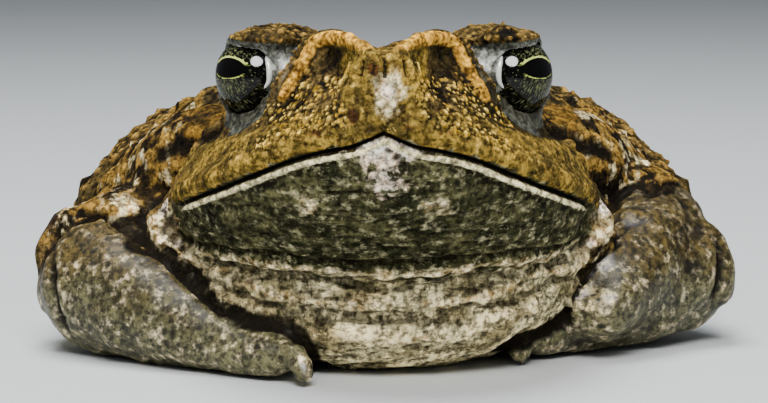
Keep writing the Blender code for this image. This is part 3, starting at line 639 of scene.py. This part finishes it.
def paint_lids(clay):
    """Paints the smooth silvery skin round the eyes, with painted shade below the eye and under the brow and a
    painted highlight in the inner corner.
    """
    for side in BOTH:
        away, outwards, backwards, height = from_eye(clay.points, side)
        off = away - EYE_RADIUS
        near = smooth_step(4.4, 3.2, off) * smooth_step(-8.0, -6.0, outwards)
        below = smooth_step(1.0, -1.5, height) * smooth_step(2.7, 1.9, off)
        inner = smooth_step(1.5, -0.5, backwards) * smooth_step(4.6, 3.9, height)
        clay.paint("lid", near * np.maximum(below, inner))
        brow_height = np.interp(np.abs(clay.points[:, 0]), *BROW_EDGE)
        under_brow = smooth_step(2.0, 1.4, off) * smooth_step(1.5, 2.5, height)
        under_brow *= smooth_step(0.3, 0.0, clay.points[:, 2] - brow_height)
        clay.paint("lid", under_brow * smooth_step(0.0, 1.0, outwards))
        clay.paint("shade", 0.85 * near * below * smooth_step(-0.5, -3.5, height))
        clay.paint("shade", 0.5 * under_brow * smooth_step(-2.0, 1.0, backwards))
        # Painted highlight on the lid in its inner corner by the eye
        clay.paint("cream", 0.55 * inner * smooth_step(2.4, 0.6, off) * smooth_step(-1.5, 1.5, height))


def raise_lid_rims(clay):
    """A thin rolled edge where each lid meets the eye."""
    for side in BOTH:
        away, outwards, _, height = from_eye(clay.points, side)
        rim = smooth_step(0.9, 0.35, away - EYE_RADIUS) * smooth_step(0.4, 1.2, outwards)
        rim *= smooth_step(2.5, 0.5, height)
        clay.push(0.22 * rim)


def ear_drums(clay):
    """The round ear drum behind each eye: a low rim round a shallow disc."""
    for side in BOTH:
        centre = clay.on_surface(mirrored_x((EAR_DRUM, EAR_DRUM), side))[0]
        away = np.linalg.norm((clay.points - centre) / (1.0, 1.0, 1.15), axis=1)
        rim = np.exp(-((away - EAR_DRUM_RADIUS) / 0.45) ** 2)
        disc = smooth_step(EAR_DRUM_RADIUS, EAR_DRUM_RADIUS - 0.8, away)
        clay.push(EAR_RIM * rim - EAR_DISC * disc)
        clay.paint("rust", 0.3 * disc)
        clay.paint("shade", 0.6 * np.exp(-((away - EAR_DRUM_RADIUS - 0.9) / 0.5) ** 2))


def carve_mouth(clay):
    """The lips' line, pressed in and masked for the painted shade in and beside it, the rolled rim of the lower
    lip and the pale band along it.
    """
    for side in BOTH:
        line = clay.on_surface(mirrored_x(MOUTH, side))
        away, along = away_from_line(clay.points, line, 4.0)
        tail = smooth_step(0.95, 0.86, along)
        groove = np.clip(1 - away / MOUTH_REACH, 0.0, 1.0) ** 1.5 * tail
        clay.push(-MOUTH_DEPTH * groove)
        clay.paint("mouth_shade", np.clip(1 - away / 2.0, 0, 1) * tail)
        under = np.interp(np.abs(clay.points[:, 0]), np.abs(line[:, 0]), line[:, 2]) - clay.points[:, 2]
        below = smooth_step(0.0, 0.5, under) * tail
        rim = np.exp(-((away - 0.75) / 0.45) ** 2) * below
        clay.push(0.34 * rim)
        clay.paint("rim", rim)


def press_crevices(clay):
    """Presses in the seams where the arms lie against the body, and paints shade into them."""
    arm = clay.mask["limb"]
    seam = smooth_step(0.35, 0.9, 4 * arm * (1 - arm)) * smooth_step(-14, -22, clay.points[:, 1])
    clay.push(-0.3 * seam)
    clay.paint("dark_and_shade", seam * smooth_step(43.5, 41.0, np.abs(clay.points[:, 0])))


# Warts and wrinkles

def lip_height(x):
    """Height of the line of the mouth at each distance from the middle."""
    return np.interp(np.abs(x), [p[0] for p in MOUTH], [p[2] for p in MOUTH])


def paint_face(clay):
    """Golden lips and snout, brighter towards the mouth."""
    x, y, z = clay.points.T
    above = z - lip_height(x)
    front = smooth_step(-36, -46, y) * smooth_step(0.1, 0.6, above) * (clay.mask["throat"] < 0.5)
    clay.paint("lip", front * np.maximum(smooth_step(8.0, 2.0, above), 0.85 * smooth_step(7.0, 4.0, np.abs(x))))


def warts_on_face(clay, draw):
    x, y, z = clay.points.T
    up = clay.normals[:, 2]
    smooth_parts = np.maximum(np.maximum(clay.mask["lid"], clay.mask["mouth_shade"]), clay.mask["ridge"])
    face = (y < -44) & (smooth_parts < 0.2)
    above = z - lip_height(x)
    pearls = face & (above > 3.0) & (above < 8.4) & (np.abs(x) > 4.4) & (np.abs(x) < 16) & (up < 0.75)
    clumps = smooth_step(0.3, 0.5, cloud(clay.points, 2.6, 21, 2))
    for kind in PEARLS:
        tops, rims = clay.grow_warts(pearls * clumps, kind, draw, "pearl")
        clay.paint("shade", 0.6 * rims * pearls)
        pearls = pearls & (tops < 0.1)
    clay.settle()
    brow = (y < -30) & (z > 38) & (smooth_parts < 0.3) & ((y > -57) | (np.abs(x) > 9))
    clay.paint("tip", clay.grow_warts(brow * 1.0, BROW_WARTS, draw)[0])
    rest = face & (z > 20) & (clay.mask["pearl"] < 0.1) & (up < 0.8) & (above > 1.0)
    clay.grow_warts(rest * 0.5, FACE_WARTS, draw)
    clay.settle()


def warts_on_body(clay, zone, draw):
    x, y, z = clay.points.T
    up = clay.normals[:, 2]
    back = smooth_step(0.05, 0.5, up) * zone("torso", "thigh", "head") * smooth_step(-42, -34, y)
    flank = smooth_step(9, 15, z) * zone("torso", "thigh", "head") * smooth_step(-42, -34, y) * (1 - back)
    back = back * (1 - 0.8 * smooth_step(20, 28, np.abs(x)) * smooth_step(36, 8, y))
    for weight, kind in ((back, BACK_WARTS), (np.maximum(back, 0.2 * flank), SMALL_BACK_WARTS)):
        tops, rims = clay.grow_warts(weight, kind, draw)
        clay.paint("tip", tops)
        clay.paint("shade", 0.5 * rims * back)
        clay.settle()
    clay.paint("tip", 0.5 * clay.grow_warts(zone("parotoid"), GLAND_WARTS, draw)[0])
    limbs = zone("upper_arm", "shank") + zone("forearm") * smooth_step(-20, -12, y)
    clay.grow_warts(limbs * 0.7 * smooth_step(-0.1, 0.3, up), LIMB_WARTS, draw)
    clay.settle()


def wrinkle(clay, zone):
    """Fine folds across the throat and belly, and slack skin on the limbs."""
    throat = np.clip(zone("lower_jaw") + clay.mask["pale"], 0, 1) * (clay.mask["mouth_shade"] < 0.3)
    body = zone("torso", "thigh", "upper_arm", "forearm", "shank")

    def waves(size, stretch, height, seed, octaves):
        return height * (cloud(clay.points * stretch, size, seed, octaves) - 0.5)

    clay.push(waves(*THROAT_WAVES) * throat)
    clay.push(waves(*CHIN_FOLDS) * throat * clay.mask["pale"] * smooth_step(-36, -42, clay.points[:, 1]))
    clay.push(waves(*SLACK_SKIN) * body)
    clay.settle()


# Paint

def paint_dabs(clay):
    for centre, reach, mask, strength, sides in DABS:
        for side in sides:
            away = np.linalg.norm((clay.points - np.array(centre) * (side, 1, 1)) / np.array(reach), axis=1)
            clay.paint(mask, strength * smooth_step(1.0, 0.0, away))
    above = clay.points[:, 2] - lip_height(clay.points[:, 0])
    upper_lip = smooth_step(-0.2, 0.1, above) * smooth_step(3.4, 2.6, above) * (clay.points[:, 1] < -60)
    clay.mask["pink"] *= 1 - upper_lip


def paint_relief(clay):
    """How sunk each place of the finished surface is, for the painted shade in the hollows and the painted
    highlight on the tops.
    """
    smoothed = np.stack([clay.soften(axis, 4) for axis in clay.points.T], axis=1)
    sunk = ((smoothed - clay.points) * clay.normals).sum(axis=1)
    clay.mask["cavity"] = np.clip(0.5 + sunk / 0.22, 0.0, 1.0)


def paint_limbs(clay, zone):
    """Back colour on what faces away from the chest, and on the hind legs."""
    away_from_front = smooth_step(0.25, -0.35, -clay.normals[:, 1])
    arms = zone("upper_arm", "forearm") * away_from_front
    legs = zone("shank", "foot", "thigh") * smooth_step(-0.5, 0.1, clay.normals[:, 2])
    clay.paint("brown", np.maximum(arms, legs))


def store_masks(clay):
    """Keeps the masks as colour attributes of three each, named masks_0 and on."""
    names = list(clay.masks)
    for start in range(0, len(names), 3):
        attribute = clay.obj.data.color_attributes.new(f"masks_{start // 3}", "FLOAT_COLOR", "POINT")
        columns = [np.clip(clay.mask[name], 0.0, 1.0) for name in names[start:start + 3]]
        columns += [np.ones(len(clay.points))] * (4 - len(columns))
        attribute.data.foreach_set("color", np.stack(columns, axis=1).astype(np.float32).ravel())


# Materials

def colour(steps):
    """A linear colour from one given in the 0 to 255 steps of a screen."""
    shares = [step / 255 for step in steps]
    return (*[s / 12.92 if s < 0.04045 else ((s + 0.055) / 1.055) ** 2.4 for s in shares], 1.0)


class Shader:
    """Short calls that add and link the nodes of one material."""

    def __init__(self, name):
        self.material = bpy.data.materials.new(name)
        self.material.use_nodes = True
        self.tree = self.material.node_tree
        self.bsdf = self.tree.nodes["Principled BSDF"]
        self.place = self.add("ShaderNodeTexCoord").outputs["Object"]

    def feed(self, socket, value):
        if isinstance(value, bpy.types.NodeSocket):
            self.tree.links.new(value, socket)
        else:
            socket.default_value = value

    def add(self, kind, inputs=None, **values):
        node = self.tree.nodes.new(kind)
        for name, value in values.items():
            setattr(node, name, value)
        for name, value in (inputs or {}).items():
            self.feed(node.inputs[name], value)
        return node

    def noise(self, size, detail=3.0, rough=0.55, scale=(1.0, 1.0, 1.0)):
        """Noise around 0.5 whose blotches are about size millimetres across."""
        place = self.add("ShaderNodeVectorMath", {0: self.place, 1: scale}, operation="MULTIPLY").outputs[0]
        inputs = {"Vector": place, "Scale": 1 / (size * MM), "Detail": detail, "Roughness": rough}
        return self.add("ShaderNodeTexNoise", inputs).outputs["Fac"]

    def cells(self, size):
        """Distance to the middle of cells about size millimetres across."""
        inputs = {"Vector": self.place, "Scale": 1 / (size * MM)}
        return self.add("ShaderNodeTexVoronoi", inputs).outputs["Distance"]

    def math(self, operation, first, second=0.0, third=0.0):
        return self.add("ShaderNodeMath", {0: first, 1: second, 2: third}, operation=operation).outputs[0]

    def times(self, first, second):
        return self.math("MULTIPLY", first, second)

    def hypotenuse(self, first, second):
        vector = self.add("ShaderNodeCombineXYZ", {"X": first, "Y": second}).outputs[0]
        return self.add("ShaderNodeVectorMath", {0: vector}, operation="LENGTH").outputs["Value"]

    def span(self, value, low, high, start=0.0, end=1.0):
        inputs = {"Value": value, "From Min": low, "From Max": high, "To Min": start, "To Max": end}
        return self.add("ShaderNodeMapRange", inputs, interpolation_type="SMOOTHSTEP").outputs["Result"]

    def mix(self, factor, first, second, blend="MIX"):
        node = self.add("ShaderNodeMix", data_type="RGBA", blend_type=blend)
        for socket, value in zip((node.inputs[0], node.inputs[6], node.inputs[7]), (factor, first, second)):
            self.feed(socket, value)
        return node.outputs[2]

    def pair(self, name, value, low=0.4, high=0.6):
        """The two colours of a name in TONES, mixed where the value runs from low to high."""
        first, second = TONES[name]
        return self.mix(self.span(value, low, high), colour(first), colour(second))

    def over(self, tone, name, value, low, high, share=1.0):
        """The tone with a colour from TONES laid over it where the value runs from low to high."""
        return self.mix(self.span(value, low, high, 0.0, share), tone, colour(TONES[name]))

    def patchy(self, mask, breaks, low=0.35, high=0.65, depth=0.8):
        """The mask with an edge that follows the noise."""
        return self.span(self.math("MULTIPLY_ADD", self.math("SUBTRACT", breaks, 0.5), depth, mask), low, high)

    def finish(self, values):
        """Feeds each value to the surface's input of that name, and returns the material."""
        for name, value in values.items():
            self.feed(self.bsdf.inputs[name], value)
        return self.material

    def masks(self, names):
        """The painted masks by name."""
        found = {}
        for start in range(0, len(names), 3):
            name = f"masks_{start // 3}"
            node = self.add("ShaderNodeAttribute", attribute_type="GEOMETRY", attribute_name=name)
            split = self.add("ShaderNodeSeparateColor", {"Color": node.outputs["Color"]})
            found.update(zip(names[start:start + 3], split.outputs))
        return found


def body_tones(shader, mask, broad, patch, small):
    """Colours of the back, glands, flanks, limbs, belly and throat, and the mask of the moist limbs."""
    tone = shader.pair("back", broad, 0.38, 0.62)
    tone = shader.over(tone, "back patch", patch, 0.54, 0.64)
    tips = shader.times(mask["tip"], shader.span(small, 0.3, 0.6))
    tone = shader.mix(tips, tone, colour(TONES["wart tip"]))
    tone = shader.mix(shader.patchy(mask["gland"], patch), tone, shader.pair("gland", patch, 0.4, 0.62))
    flank = shader.pair("flank", shader.noise(4.0, 4, 0.6, (1.0, 0.6, 0.6)), 0.49, 0.58)
    flank = shader.over(flank, "flank blotch", shader.noise(3.4, 4, 0.6, (1.2, 0.5, 0.7)), 0.54, 0.64)
    tone = shader.mix(shader.patchy(mask["flank"], patch), tone, flank)

    # Limbs: golden olive above, grey and dotted below
    level = shader.add("ShaderNodeSeparateXYZ", {"Vector": shader.place}).outputs["Z"]
    level = shader.math("ADD", level, shader.times(shader.math("SUBTRACT", patch, 0.5), 0.016))
    limb = shader.pair("limb", level, 0.006, 0.015)
    flecks = shader.times(shader.span(small, 0.5, 0.68, 0.0, 0.9),
                         shader.span(level, 0.010, 0.017, 1.0, 0.45))
    limb = shader.mix(flecks, limb, colour(TONES["limb fleck"]))
    limb = shader.over(limb, "limb patch", patch, 0.52, 0.66, 0.35)
    limb = shader.over(limb, "limb spot", shader.cells(2.3), 0.3, 0.12, 0.7)
    limb = shader.over(limb, "limb dot", shader.cells(0.95), 0.34, 0.14, 0.7)
    moist_limb = shader.times(mask["limb"], shader.math("SUBTRACT", 1.0, mask["brown"]))
    tone = shader.mix(shader.patchy(moist_limb, patch), tone, limb)

    # Belly and throat
    streaks = shader.noise(1.0, 4, 0.7, (1.0, 1.0, 0.45))
    belly = shader.pair("belly", patch, 0.42, 0.6)
    # Painted shade in the creases of the pale skin's folds
    belly = shader.over(belly, "belly crease shade", belly_creases(shader), 0.5, 0.66, 0.75)
    belly = shader.over(belly, "belly streak", streaks, 0.54, 0.66, 0.8)
    tone = shader.mix(shader.patchy(mask["pale"], patch), tone, belly)
    net = shader.noise(1.3, 4, 0.7, (0.8, 0.8, 1.2))
    flecks = shader.times(shader.span(net, 0.5, 0.66), shader.span(broad, 0.36, 0.6, 0.35, 1.0))
    throat = shader.mix(flecks, shader.pair("throat", patch, 0.35, 0.65), colour(TONES["throat fleck"]))
    return shader.mix(shader.patchy(mask["throat"], streaks, 0.3, 0.6, 0.7), tone, throat), moist_limb


def belly_creases(shader):
    """Noise drawn out across the body, for the folds of the pale skin."""
    return shader.noise(0.7, 4, 0.65, (0.35, 0.35, 1.2))


def face_tones(shader, mask, tone, patch, small, grain):
    """Colours of the lips, snout, ridges, lids and painted spots, laid over the body's."""
    golden = shader.pair("golden", patch, 0.38, 0.62)
    golden = shader.over(golden, "golden grain", small, 0.54, 0.66, 0.8)
    golden = shader.over(golden, "golden light", shader.noise(1.1, 4, 0.7), 0.56, 0.68, 0.6)
    tone = shader.mix(shader.patchy(mask["lip"], small, depth=0.9), tone, golden)
    cream = shader.pair("cream", small, 0.4, 0.62)
    tone = shader.mix(shader.patchy(mask["cream"], shader.noise(2.0, 4, 0.6), depth=1.3), tone, cream)
    tone = shader.mix(shader.patchy(mask["rust"], small, depth=1.1), tone, colour(TONES["rust"]))
    # Black blotches of the skin, and painted shade in the crevices, grooves and creases
    tone = shader.over(tone, "dark_and_shade", mask["dark_and_shade"], 0.1, 0.8, 0.95)
    tone = shader.mix(shader.span(mask["pearl"], 0.4, 0.85), tone, shader.pair("pearl", small))
    silver = shader.pair("silver", grain, 0.4, 0.62)
    silver = shader.over(silver, "silver grain", small, 0.5, 0.66, 0.8)
    # Painted highlight on the lids, where the cream mask lies on them
    silver = shader.mix(shader.patchy(mask["cream"], small, depth=1.2), silver, colour(TONES["silver highlight"]))
    tone = shader.mix(shader.span(mask["lid"], 0.35, 0.6), tone, silver)
    tone = shader.mix(shader.span(mask["ridge"], 0.3, 0.7), tone, shader.pair("bone", small, 0.4, 0.65))
    tone = shader.mix(shader.patchy(mask["pink"], small, depth=1.6), tone, shader.pair("blush", small))
    tone = shader.mix(shader.patchy(mask["rim"], small, depth=1.0), tone, colour(TONES["lip rim"]))
    return shader.over(tone, "shade", mask["shade"], 0.1, 0.8, 0.32)


def mottle_and_painted_light(shader, mask, tone):
    """Mottling, painted shade in the hollows, a painted highlight on the tops, and painted shade along the line
    of the mouth.
    """
    fine = shader.span(shader.noise(0.8, 4, 0.65, (1.0, 0.55, 1.0)), 0.36, 0.64, 0.32, 1.8)
    mottle = shader.times(fine, shader.span(shader.noise(2.6, 3), 0.3, 0.7, 0.7, 1.3))
    tone = shader.mix(1.0, tone, mottle, "MULTIPLY")
    # Painted shade in the hollows of the surface
    hollow_shade = shader.times(shader.span(mask["cavity"], 0.54, 0.85, 0.0, 0.92),
                       shader.math("MULTIPLY_ADD", mask["pale"], -0.22, 1.0))
    tone = shader.mix(hollow_shade, tone, colour(TONES["hollow_shade"]))
    # Painted highlight on the raised tops
    tone = shader.mix(shader.span(mask["cavity"], 0.42, 0.1), tone, TOP_LIGHT, "MULTIPLY")
    # Painted shade beside and in the line of the mouth
    tone = shader.over(tone, "mouth_edge_shade", mask["mouth_shade"], 0.72, 0.9, 0.6)
    return shader.over(tone, "mouth_shade", mask["mouth_shade"], 0.88, 0.94)


def skin_relief(shader, mask, grain):
    """Pores and grain, calm on the lids and limbs, and creases in the pale skin."""
    pores = shader.times(shader.span(shader.cells(0.75), 0.1, 0.5), 0.7)
    relief = shader.math("ADD", shader.times(grain, 0.8), pores)
    calm = shader.math("MULTIPLY_ADD", shader.math("MAXIMUM", mask["lid"], mask["limb"]), -0.85, 1.0)
    folded = shader.times(belly_creases(shader), shader.times(mask["pale"], -1.6))
    relief = shader.math("ADD", shader.times(relief, calm), folded)
    bump = shader.add("ShaderNodeBump", {"Height": relief, "Strength": 0.7, "Distance": 0.45 * MM})
    return bump.outputs["Normal"]


def skin_material():
    shader = Shader("toad_skin")
    mask = shader.masks(Clay.masks)
    broad = shader.noise(11, 4)
    patch = shader.noise(4.5, 4)
    small = shader.noise(1.5, 4, 0.65)
    grain = shader.noise(0.45, 3)
    tone, moist_limb = body_tones(shader, mask, broad, patch, small)
    tone = face_tones(shader, mask, tone, patch, small, grain)
    # Dull on the back, and a moist coat on the lids and limbs
    moist = shader.span(shader.math("MAXIMUM", mask["lid"], moist_limb), 0.0, 1.0, 0.0, MOIST_COAT)
    shine = shader.times(moist, shader.span(mask["dark_and_shade"], 0.2, 0.8, 1.0, 0.1))
    rough = shader.math("MULTIPLY_ADD", small, 0.2, 0.58)
    for part, change in ((mask["lid"], -0.26), (moist_limb, -0.3), (mask["dark_and_shade"], 0.5)):
        rough = shader.math("MULTIPLY_ADD", part, change, rough)
    return shader.finish({
        "Base Color": mottle_and_painted_light(shader, mask, tone), "Normal": skin_relief(shader, mask, grain),
        "Roughness": rough, "Specular IOR Level": DRY_SHINE,
        "Coat Weight": shine, "Coat Roughness": MOIST_ROUGHNESS,
    })


def eye_material():
    """Black iris with flecks of green gold and a lying pupil between two bright lines."""
    shader = Shader("toad_eye")
    gaze = shader.add("ShaderNodeAttribute", attribute_type="GEOMETRY", attribute_name="gaze").outputs["Vector"]
    forward, height, _ = shader.add("ShaderNodeSeparateXYZ", {"Vector": gaze}).outputs
    across = shader.math("DIVIDE", forward, PUPIL[0])
    upward = shader.math("DIVIDE", height, PUPIL[1])
    from_pupil = shader.hypotenuse(across, upward)
    radius = shader.hypotenuse(forward, height)
    angle = shader.math("ARCTAN2", height, forward)
    turned = shader.times(angle, 2.2)
    polar = shader.add("ShaderNodeCombineXYZ", {"X": turned, "Y": radius}).outputs[0]
    streak = shader.add("ShaderNodeTexNoise", {"Vector": polar, "Scale": 8.0, "Detail": 5.0, "Roughness": 0.75})
    fleck = shader.add("ShaderNodeTexNoise", {"Vector": gaze, "Scale": 20.0, "Detail": 3.0, "Roughness": 0.7})
    width = shader.span(upward, -0.5, 0.8, 1.08, 1.22)
    ragged = shader.math("MULTIPLY_ADD", shader.math("SUBTRACT", fleck.outputs["Fac"], 0.5), 0.5, width)
    within = shader.math("LESS_THAN", from_pupil, ragged)
    ring = shader.times(shader.span(from_pupil, 1.0, 1.05), within)
    ring = shader.times(ring, shader.span(shader.math("ABSOLUTE", upward), 0.35, 0.7))
    outside = shader.span(from_pupil, 1.1, 1.3)
    density = shader.math("MULTIPLY_ADD", height, 0.02, 0.065)
    density = shader.math("ADD", density, shader.times(radius, -0.12))
    streaks = shader.span(shader.math("ADD", streak.outputs["Fac"], density), 0.50, 0.60)
    flecks = shader.span(shader.math("ADD", fleck.outputs["Fac"], density), 0.50, 0.60)
    flecks = shader.math("MAXIMUM", flecks, shader.span(height, -0.2, -0.45, 0.0, 0.6))
    gold = shader.times(shader.times(streaks, flecks), outside)
    tone = shader.mix(gold, colour(TONES["iris"]), colour(TONES["iris fleck"]))
    tone = shader.mix(ring, tone, colour(TONES["pupil ring"]))
    return shader.finish({
        "Base Color": tone, "Roughness": 0.35, "Specular IOR Level": 0.0,
        "Coat Weight": 0.6, "Coat Roughness": 0.02, "Coat IOR": 1.34,
    })


# Pieces

def make_skin():
    draw = np.random.default_rng(SEED)
    skin = lay_skin()
    refine(skin, face_region(places(skin)))
    apply_modifier(skin, "SMOOTH", factor=0.5, iterations=SKIN_SMOOTHING)
    refine(skin, fine_region(places(skin)))
    clay = Clay(skin)
    zone = paint_zones(clay)
    ease_bridge(clay)
    clear_eyes(clay, 0.25)
    paint_lids(clay)
    clay.settle()
    raise_lid_rims(clay)
    carve_mouth(clay)
    for _, line, reach, height, mask, strength, sides in STROKES:
        clay.stroke(line, reach, height, mask, strength, sides)
    press_crevices(clay)
    clear_eyes(clay, 0.0)
    ear_drums(clay)
    clay.settle()
    wrinkle(clay, zone)
    warts_on_face(clay, draw)
    warts_on_body(clay, zone, draw)
    clear_eyes(clay, 0.0)
    clay.points[:, 2] = np.maximum(clay.points[:, 2], 0.0)
    clay.settle()
    paint_face(clay)
    paint_dabs(clay)
    paint_limbs(clay, zone)
    paint_relief(clay)
    store_masks(clay)
    skin.data.materials.clear()
    skin.data.materials.append(skin_material())
    skin.data.shade_smooth()
    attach(skin, "root")
    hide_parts(*FLESH)
    return skin


def make_eye(node, side, material):
    """An eyeball with a slight dome to its cornea, and its gaze kept on the mesh."""
    deselect()
    bpy.ops.mesh.primitive_uv_sphere_add(segments=96, ring_count=64, radius=1.0)
    eye = bpy.context.active_object
    eye.name = node.replace("eye", "eyeball")
    eye.data.name = eye.name
    gaze = places(eye) * MM
    rise = 1 + CORNEA_RISE * smooth_step(0.45, 0.9, gaze[:, 2])
    out, along, up = eye_frame(side, GAZE_LIFT)
    turned = gaze[:, :1] * along + gaze[:, 1:2] * up + gaze[:, 2:] * out
    put(eye, eye_centre(side) + turned * (EYE_RADIUS * rise)[:, None])
    if np.cross(along, up) @ out < 0:
        eye.data.flip_normals()
    attribute = eye.data.attributes.new("gaze", "FLOAT_VECTOR", "POINT")
    attribute.data.foreach_set("vector", gaze.astype(np.float32).ravel())
    eye.data.materials.append(material)
    eye.data.shade_smooth()
    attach(eye, "root")
    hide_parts(node)


def make_lid_edge(node, side, material):
    """The wet edge of the lid that lies down the front of each eyeball, coloured near white as a painted
    reflection along it.
    """
    centre = EYE_AT * (side, 1, 1) + eye_frame(side)[0] * EYE_PROUD
    path = []
    for inwards, height in LID_EDGE:
        depth = math.sqrt((EYE_RADIUS + 0.05) ** 2 - inwards**2 - height**2)
        path.append(centre + np.array((-side * inwards, -depth, height)))
    deselect()
    curve = bpy.data.curves.new("lid_edge", "CURVE")
    curve.dimensions = "3D"
    curve.bevel_depth = LID_EDGE_RADIUS * MM
    curve.bevel_resolution = 3
    spline = curve.splines.new("POLY")
    line = curve_through(path, 8)
    spline.points.add(len(line) - 1)
    for point, spot, share in zip(spline.points, line, np.linspace(0, 1, len(line))):
        point.co = (*(spot * MM), 1.0)
        point.radius = math.sin(math.pi * share) ** 0.6 + 0.05
    edge = bpy.data.objects.new(node.replace("eye", "lid_edge"), curve)
    bpy.context.scene.collection.objects.link(edge)
    pick(edge)
    bpy.ops.object.convert(target="MESH")
    edge = bpy.context.active_object
    edge.data.materials.append(material)
    edge.data.shade_smooth()
    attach(edge, "root")


def make_inner_lid(node, side, material):
    """The silvery lid between the wet edge and the face, a thin shell on the eyeball."""
    deselect()
    radius = (EYE_RADIUS + INNER_LID_THICK) * MM
    bpy.ops.mesh.primitive_uv_sphere_add(segments=128, ring_count=96, radius=radius)
    lid = bpy.context.active_object
    lid.name = node.replace("eye", "inner_lid")
    lid.data.name = lid.name
    spots = places(lid)
    inwards, height = -side * spots[:, 0], spots[:, 2]
    edge_inwards, edge_heights = zip(*LID_EDGE[::-1])
    edge = np.interp(height, edge_heights, edge_inwards) + 0.5 * np.clip(-1.05 - height, 0.0, 1.0)
    keep = (inwards > edge) & (inwards < edge + INNER_LID_WIDTH) & (spots[:, 1] < 0)
    keep &= (height > INNER_LID_HEIGHTS[0]) & (height < INNER_LID_HEIGHTS[1])
    select_faces(lid, keep)
    bpy.ops.mesh.select_all(action="INVERT")
    bpy.ops.mesh.delete(type="FACE")
    bpy.ops.object.mode_set(mode="OBJECT")
    apply_modifier(lid, "SOLIDIFY", thickness=INNER_LID_THICK * MM, offset=-1.0)
    put(lid, places(lid) + eye_centre(side))
    clay = Clay(lid)
    clay.mask["lid"] += 1.0
    clay.mask["cavity"] += 0.5
    # Painted highlight, brighter towards the top of the inner lid
    clay.paint("cream", 0.6 * smooth_step(0.2, 1.6, clay.points[:, 2] - eye_centre(side)[2]))
    store_masks(clay)
    lid.data.materials.clear()
    lid.data.materials.append(material)
    lid.data.shade_smooth()
    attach(lid, "root")


def lid_edge_glint_material():
    shader = Shader("wet_lid_edge")
    # Near white: a painted reflection along the wet edge of the lid
    tone = shader.mix(shader.noise(0.5, 2), *map(colour, TONES["lid edge glint"]))
    return shader.finish({"Base Color": tone, "Roughness": 0.12})


def make_floor():
    deselect()
    bpy.ops.mesh.primitive_plane_add(size=FLOOR_SIZE)
    floor = bpy.context.active_object
    floor.name = "floor"
    shader = Shader("pale_floor")
    shade = shader.mix(shader.noise(260, 3), *map(colour, TONES["floor"]))
    floor.data.materials.append(shader.finish({"Base Color": shade, "Roughness": 0.8}))


def aim(obj, target):
    obj.rotation_euler = (Vector(target) - obj.location).to_track_quat("-Z", "Y").to_euler()


def add_light(name, place, target, size, power, tint):
    lamp = bpy.data.lights.new(name, "AREA")
    lamp.shape = "ELLIPSE"
    lamp.size, lamp.size_y = size
    lamp.energy = power
    lamp.color = tint
    obj = bpy.data.objects.new(name, lamp)
    bpy.context.scene.collection.objects.link(obj)
    obj.location = place
    obj.visible_diffuse = name != "glint"
    aim(obj, target)


def add_camera():
    lens = bpy.data.cameras.new("camera")
    lens.sensor_width = 36.0
    lens.lens = FOCAL_PIXELS * lens.sensor_width / PICTURE_WIDTH
    lens.clip_start = 0.01
    camera = bpy.data.objects.new("camera", lens)
    bpy.context.scene.collection.objects.link(camera)
    away = Vector((0.0, -math.cos(CAMERA_PITCH), math.sin(CAMERA_PITCH)))
    camera.location = SNOUT + away * CAMERA_AWAY
    camera.rotation_euler = (math.radians(90) - CAMERA_PITCH, 0.0, 0.0)
    bpy.context.scene.camera = camera


def add_world():
    world = bpy.data.worlds.new("studio")
    bpy.context.scene.world = world
    world.use_nodes = True
    sky = world.node_tree.nodes["Background"]
    sky.inputs["Color"].default_value = SKY_COLOUR
    sky.inputs["Strength"].default_value = SKY_STRENGTH


make_floor()
add_camera()
add_world()
for light in LIGHTS:
    add_light(*light)
skin = make_skin()
glossy = eye_material()
glint_white = lid_edge_glint_material()
for node, side in EYES.items():
    make_eye(node, side, glossy)
    make_lid_edge(node, side, glint_white)
    make_inner_lid(node, side, skin.active_material)
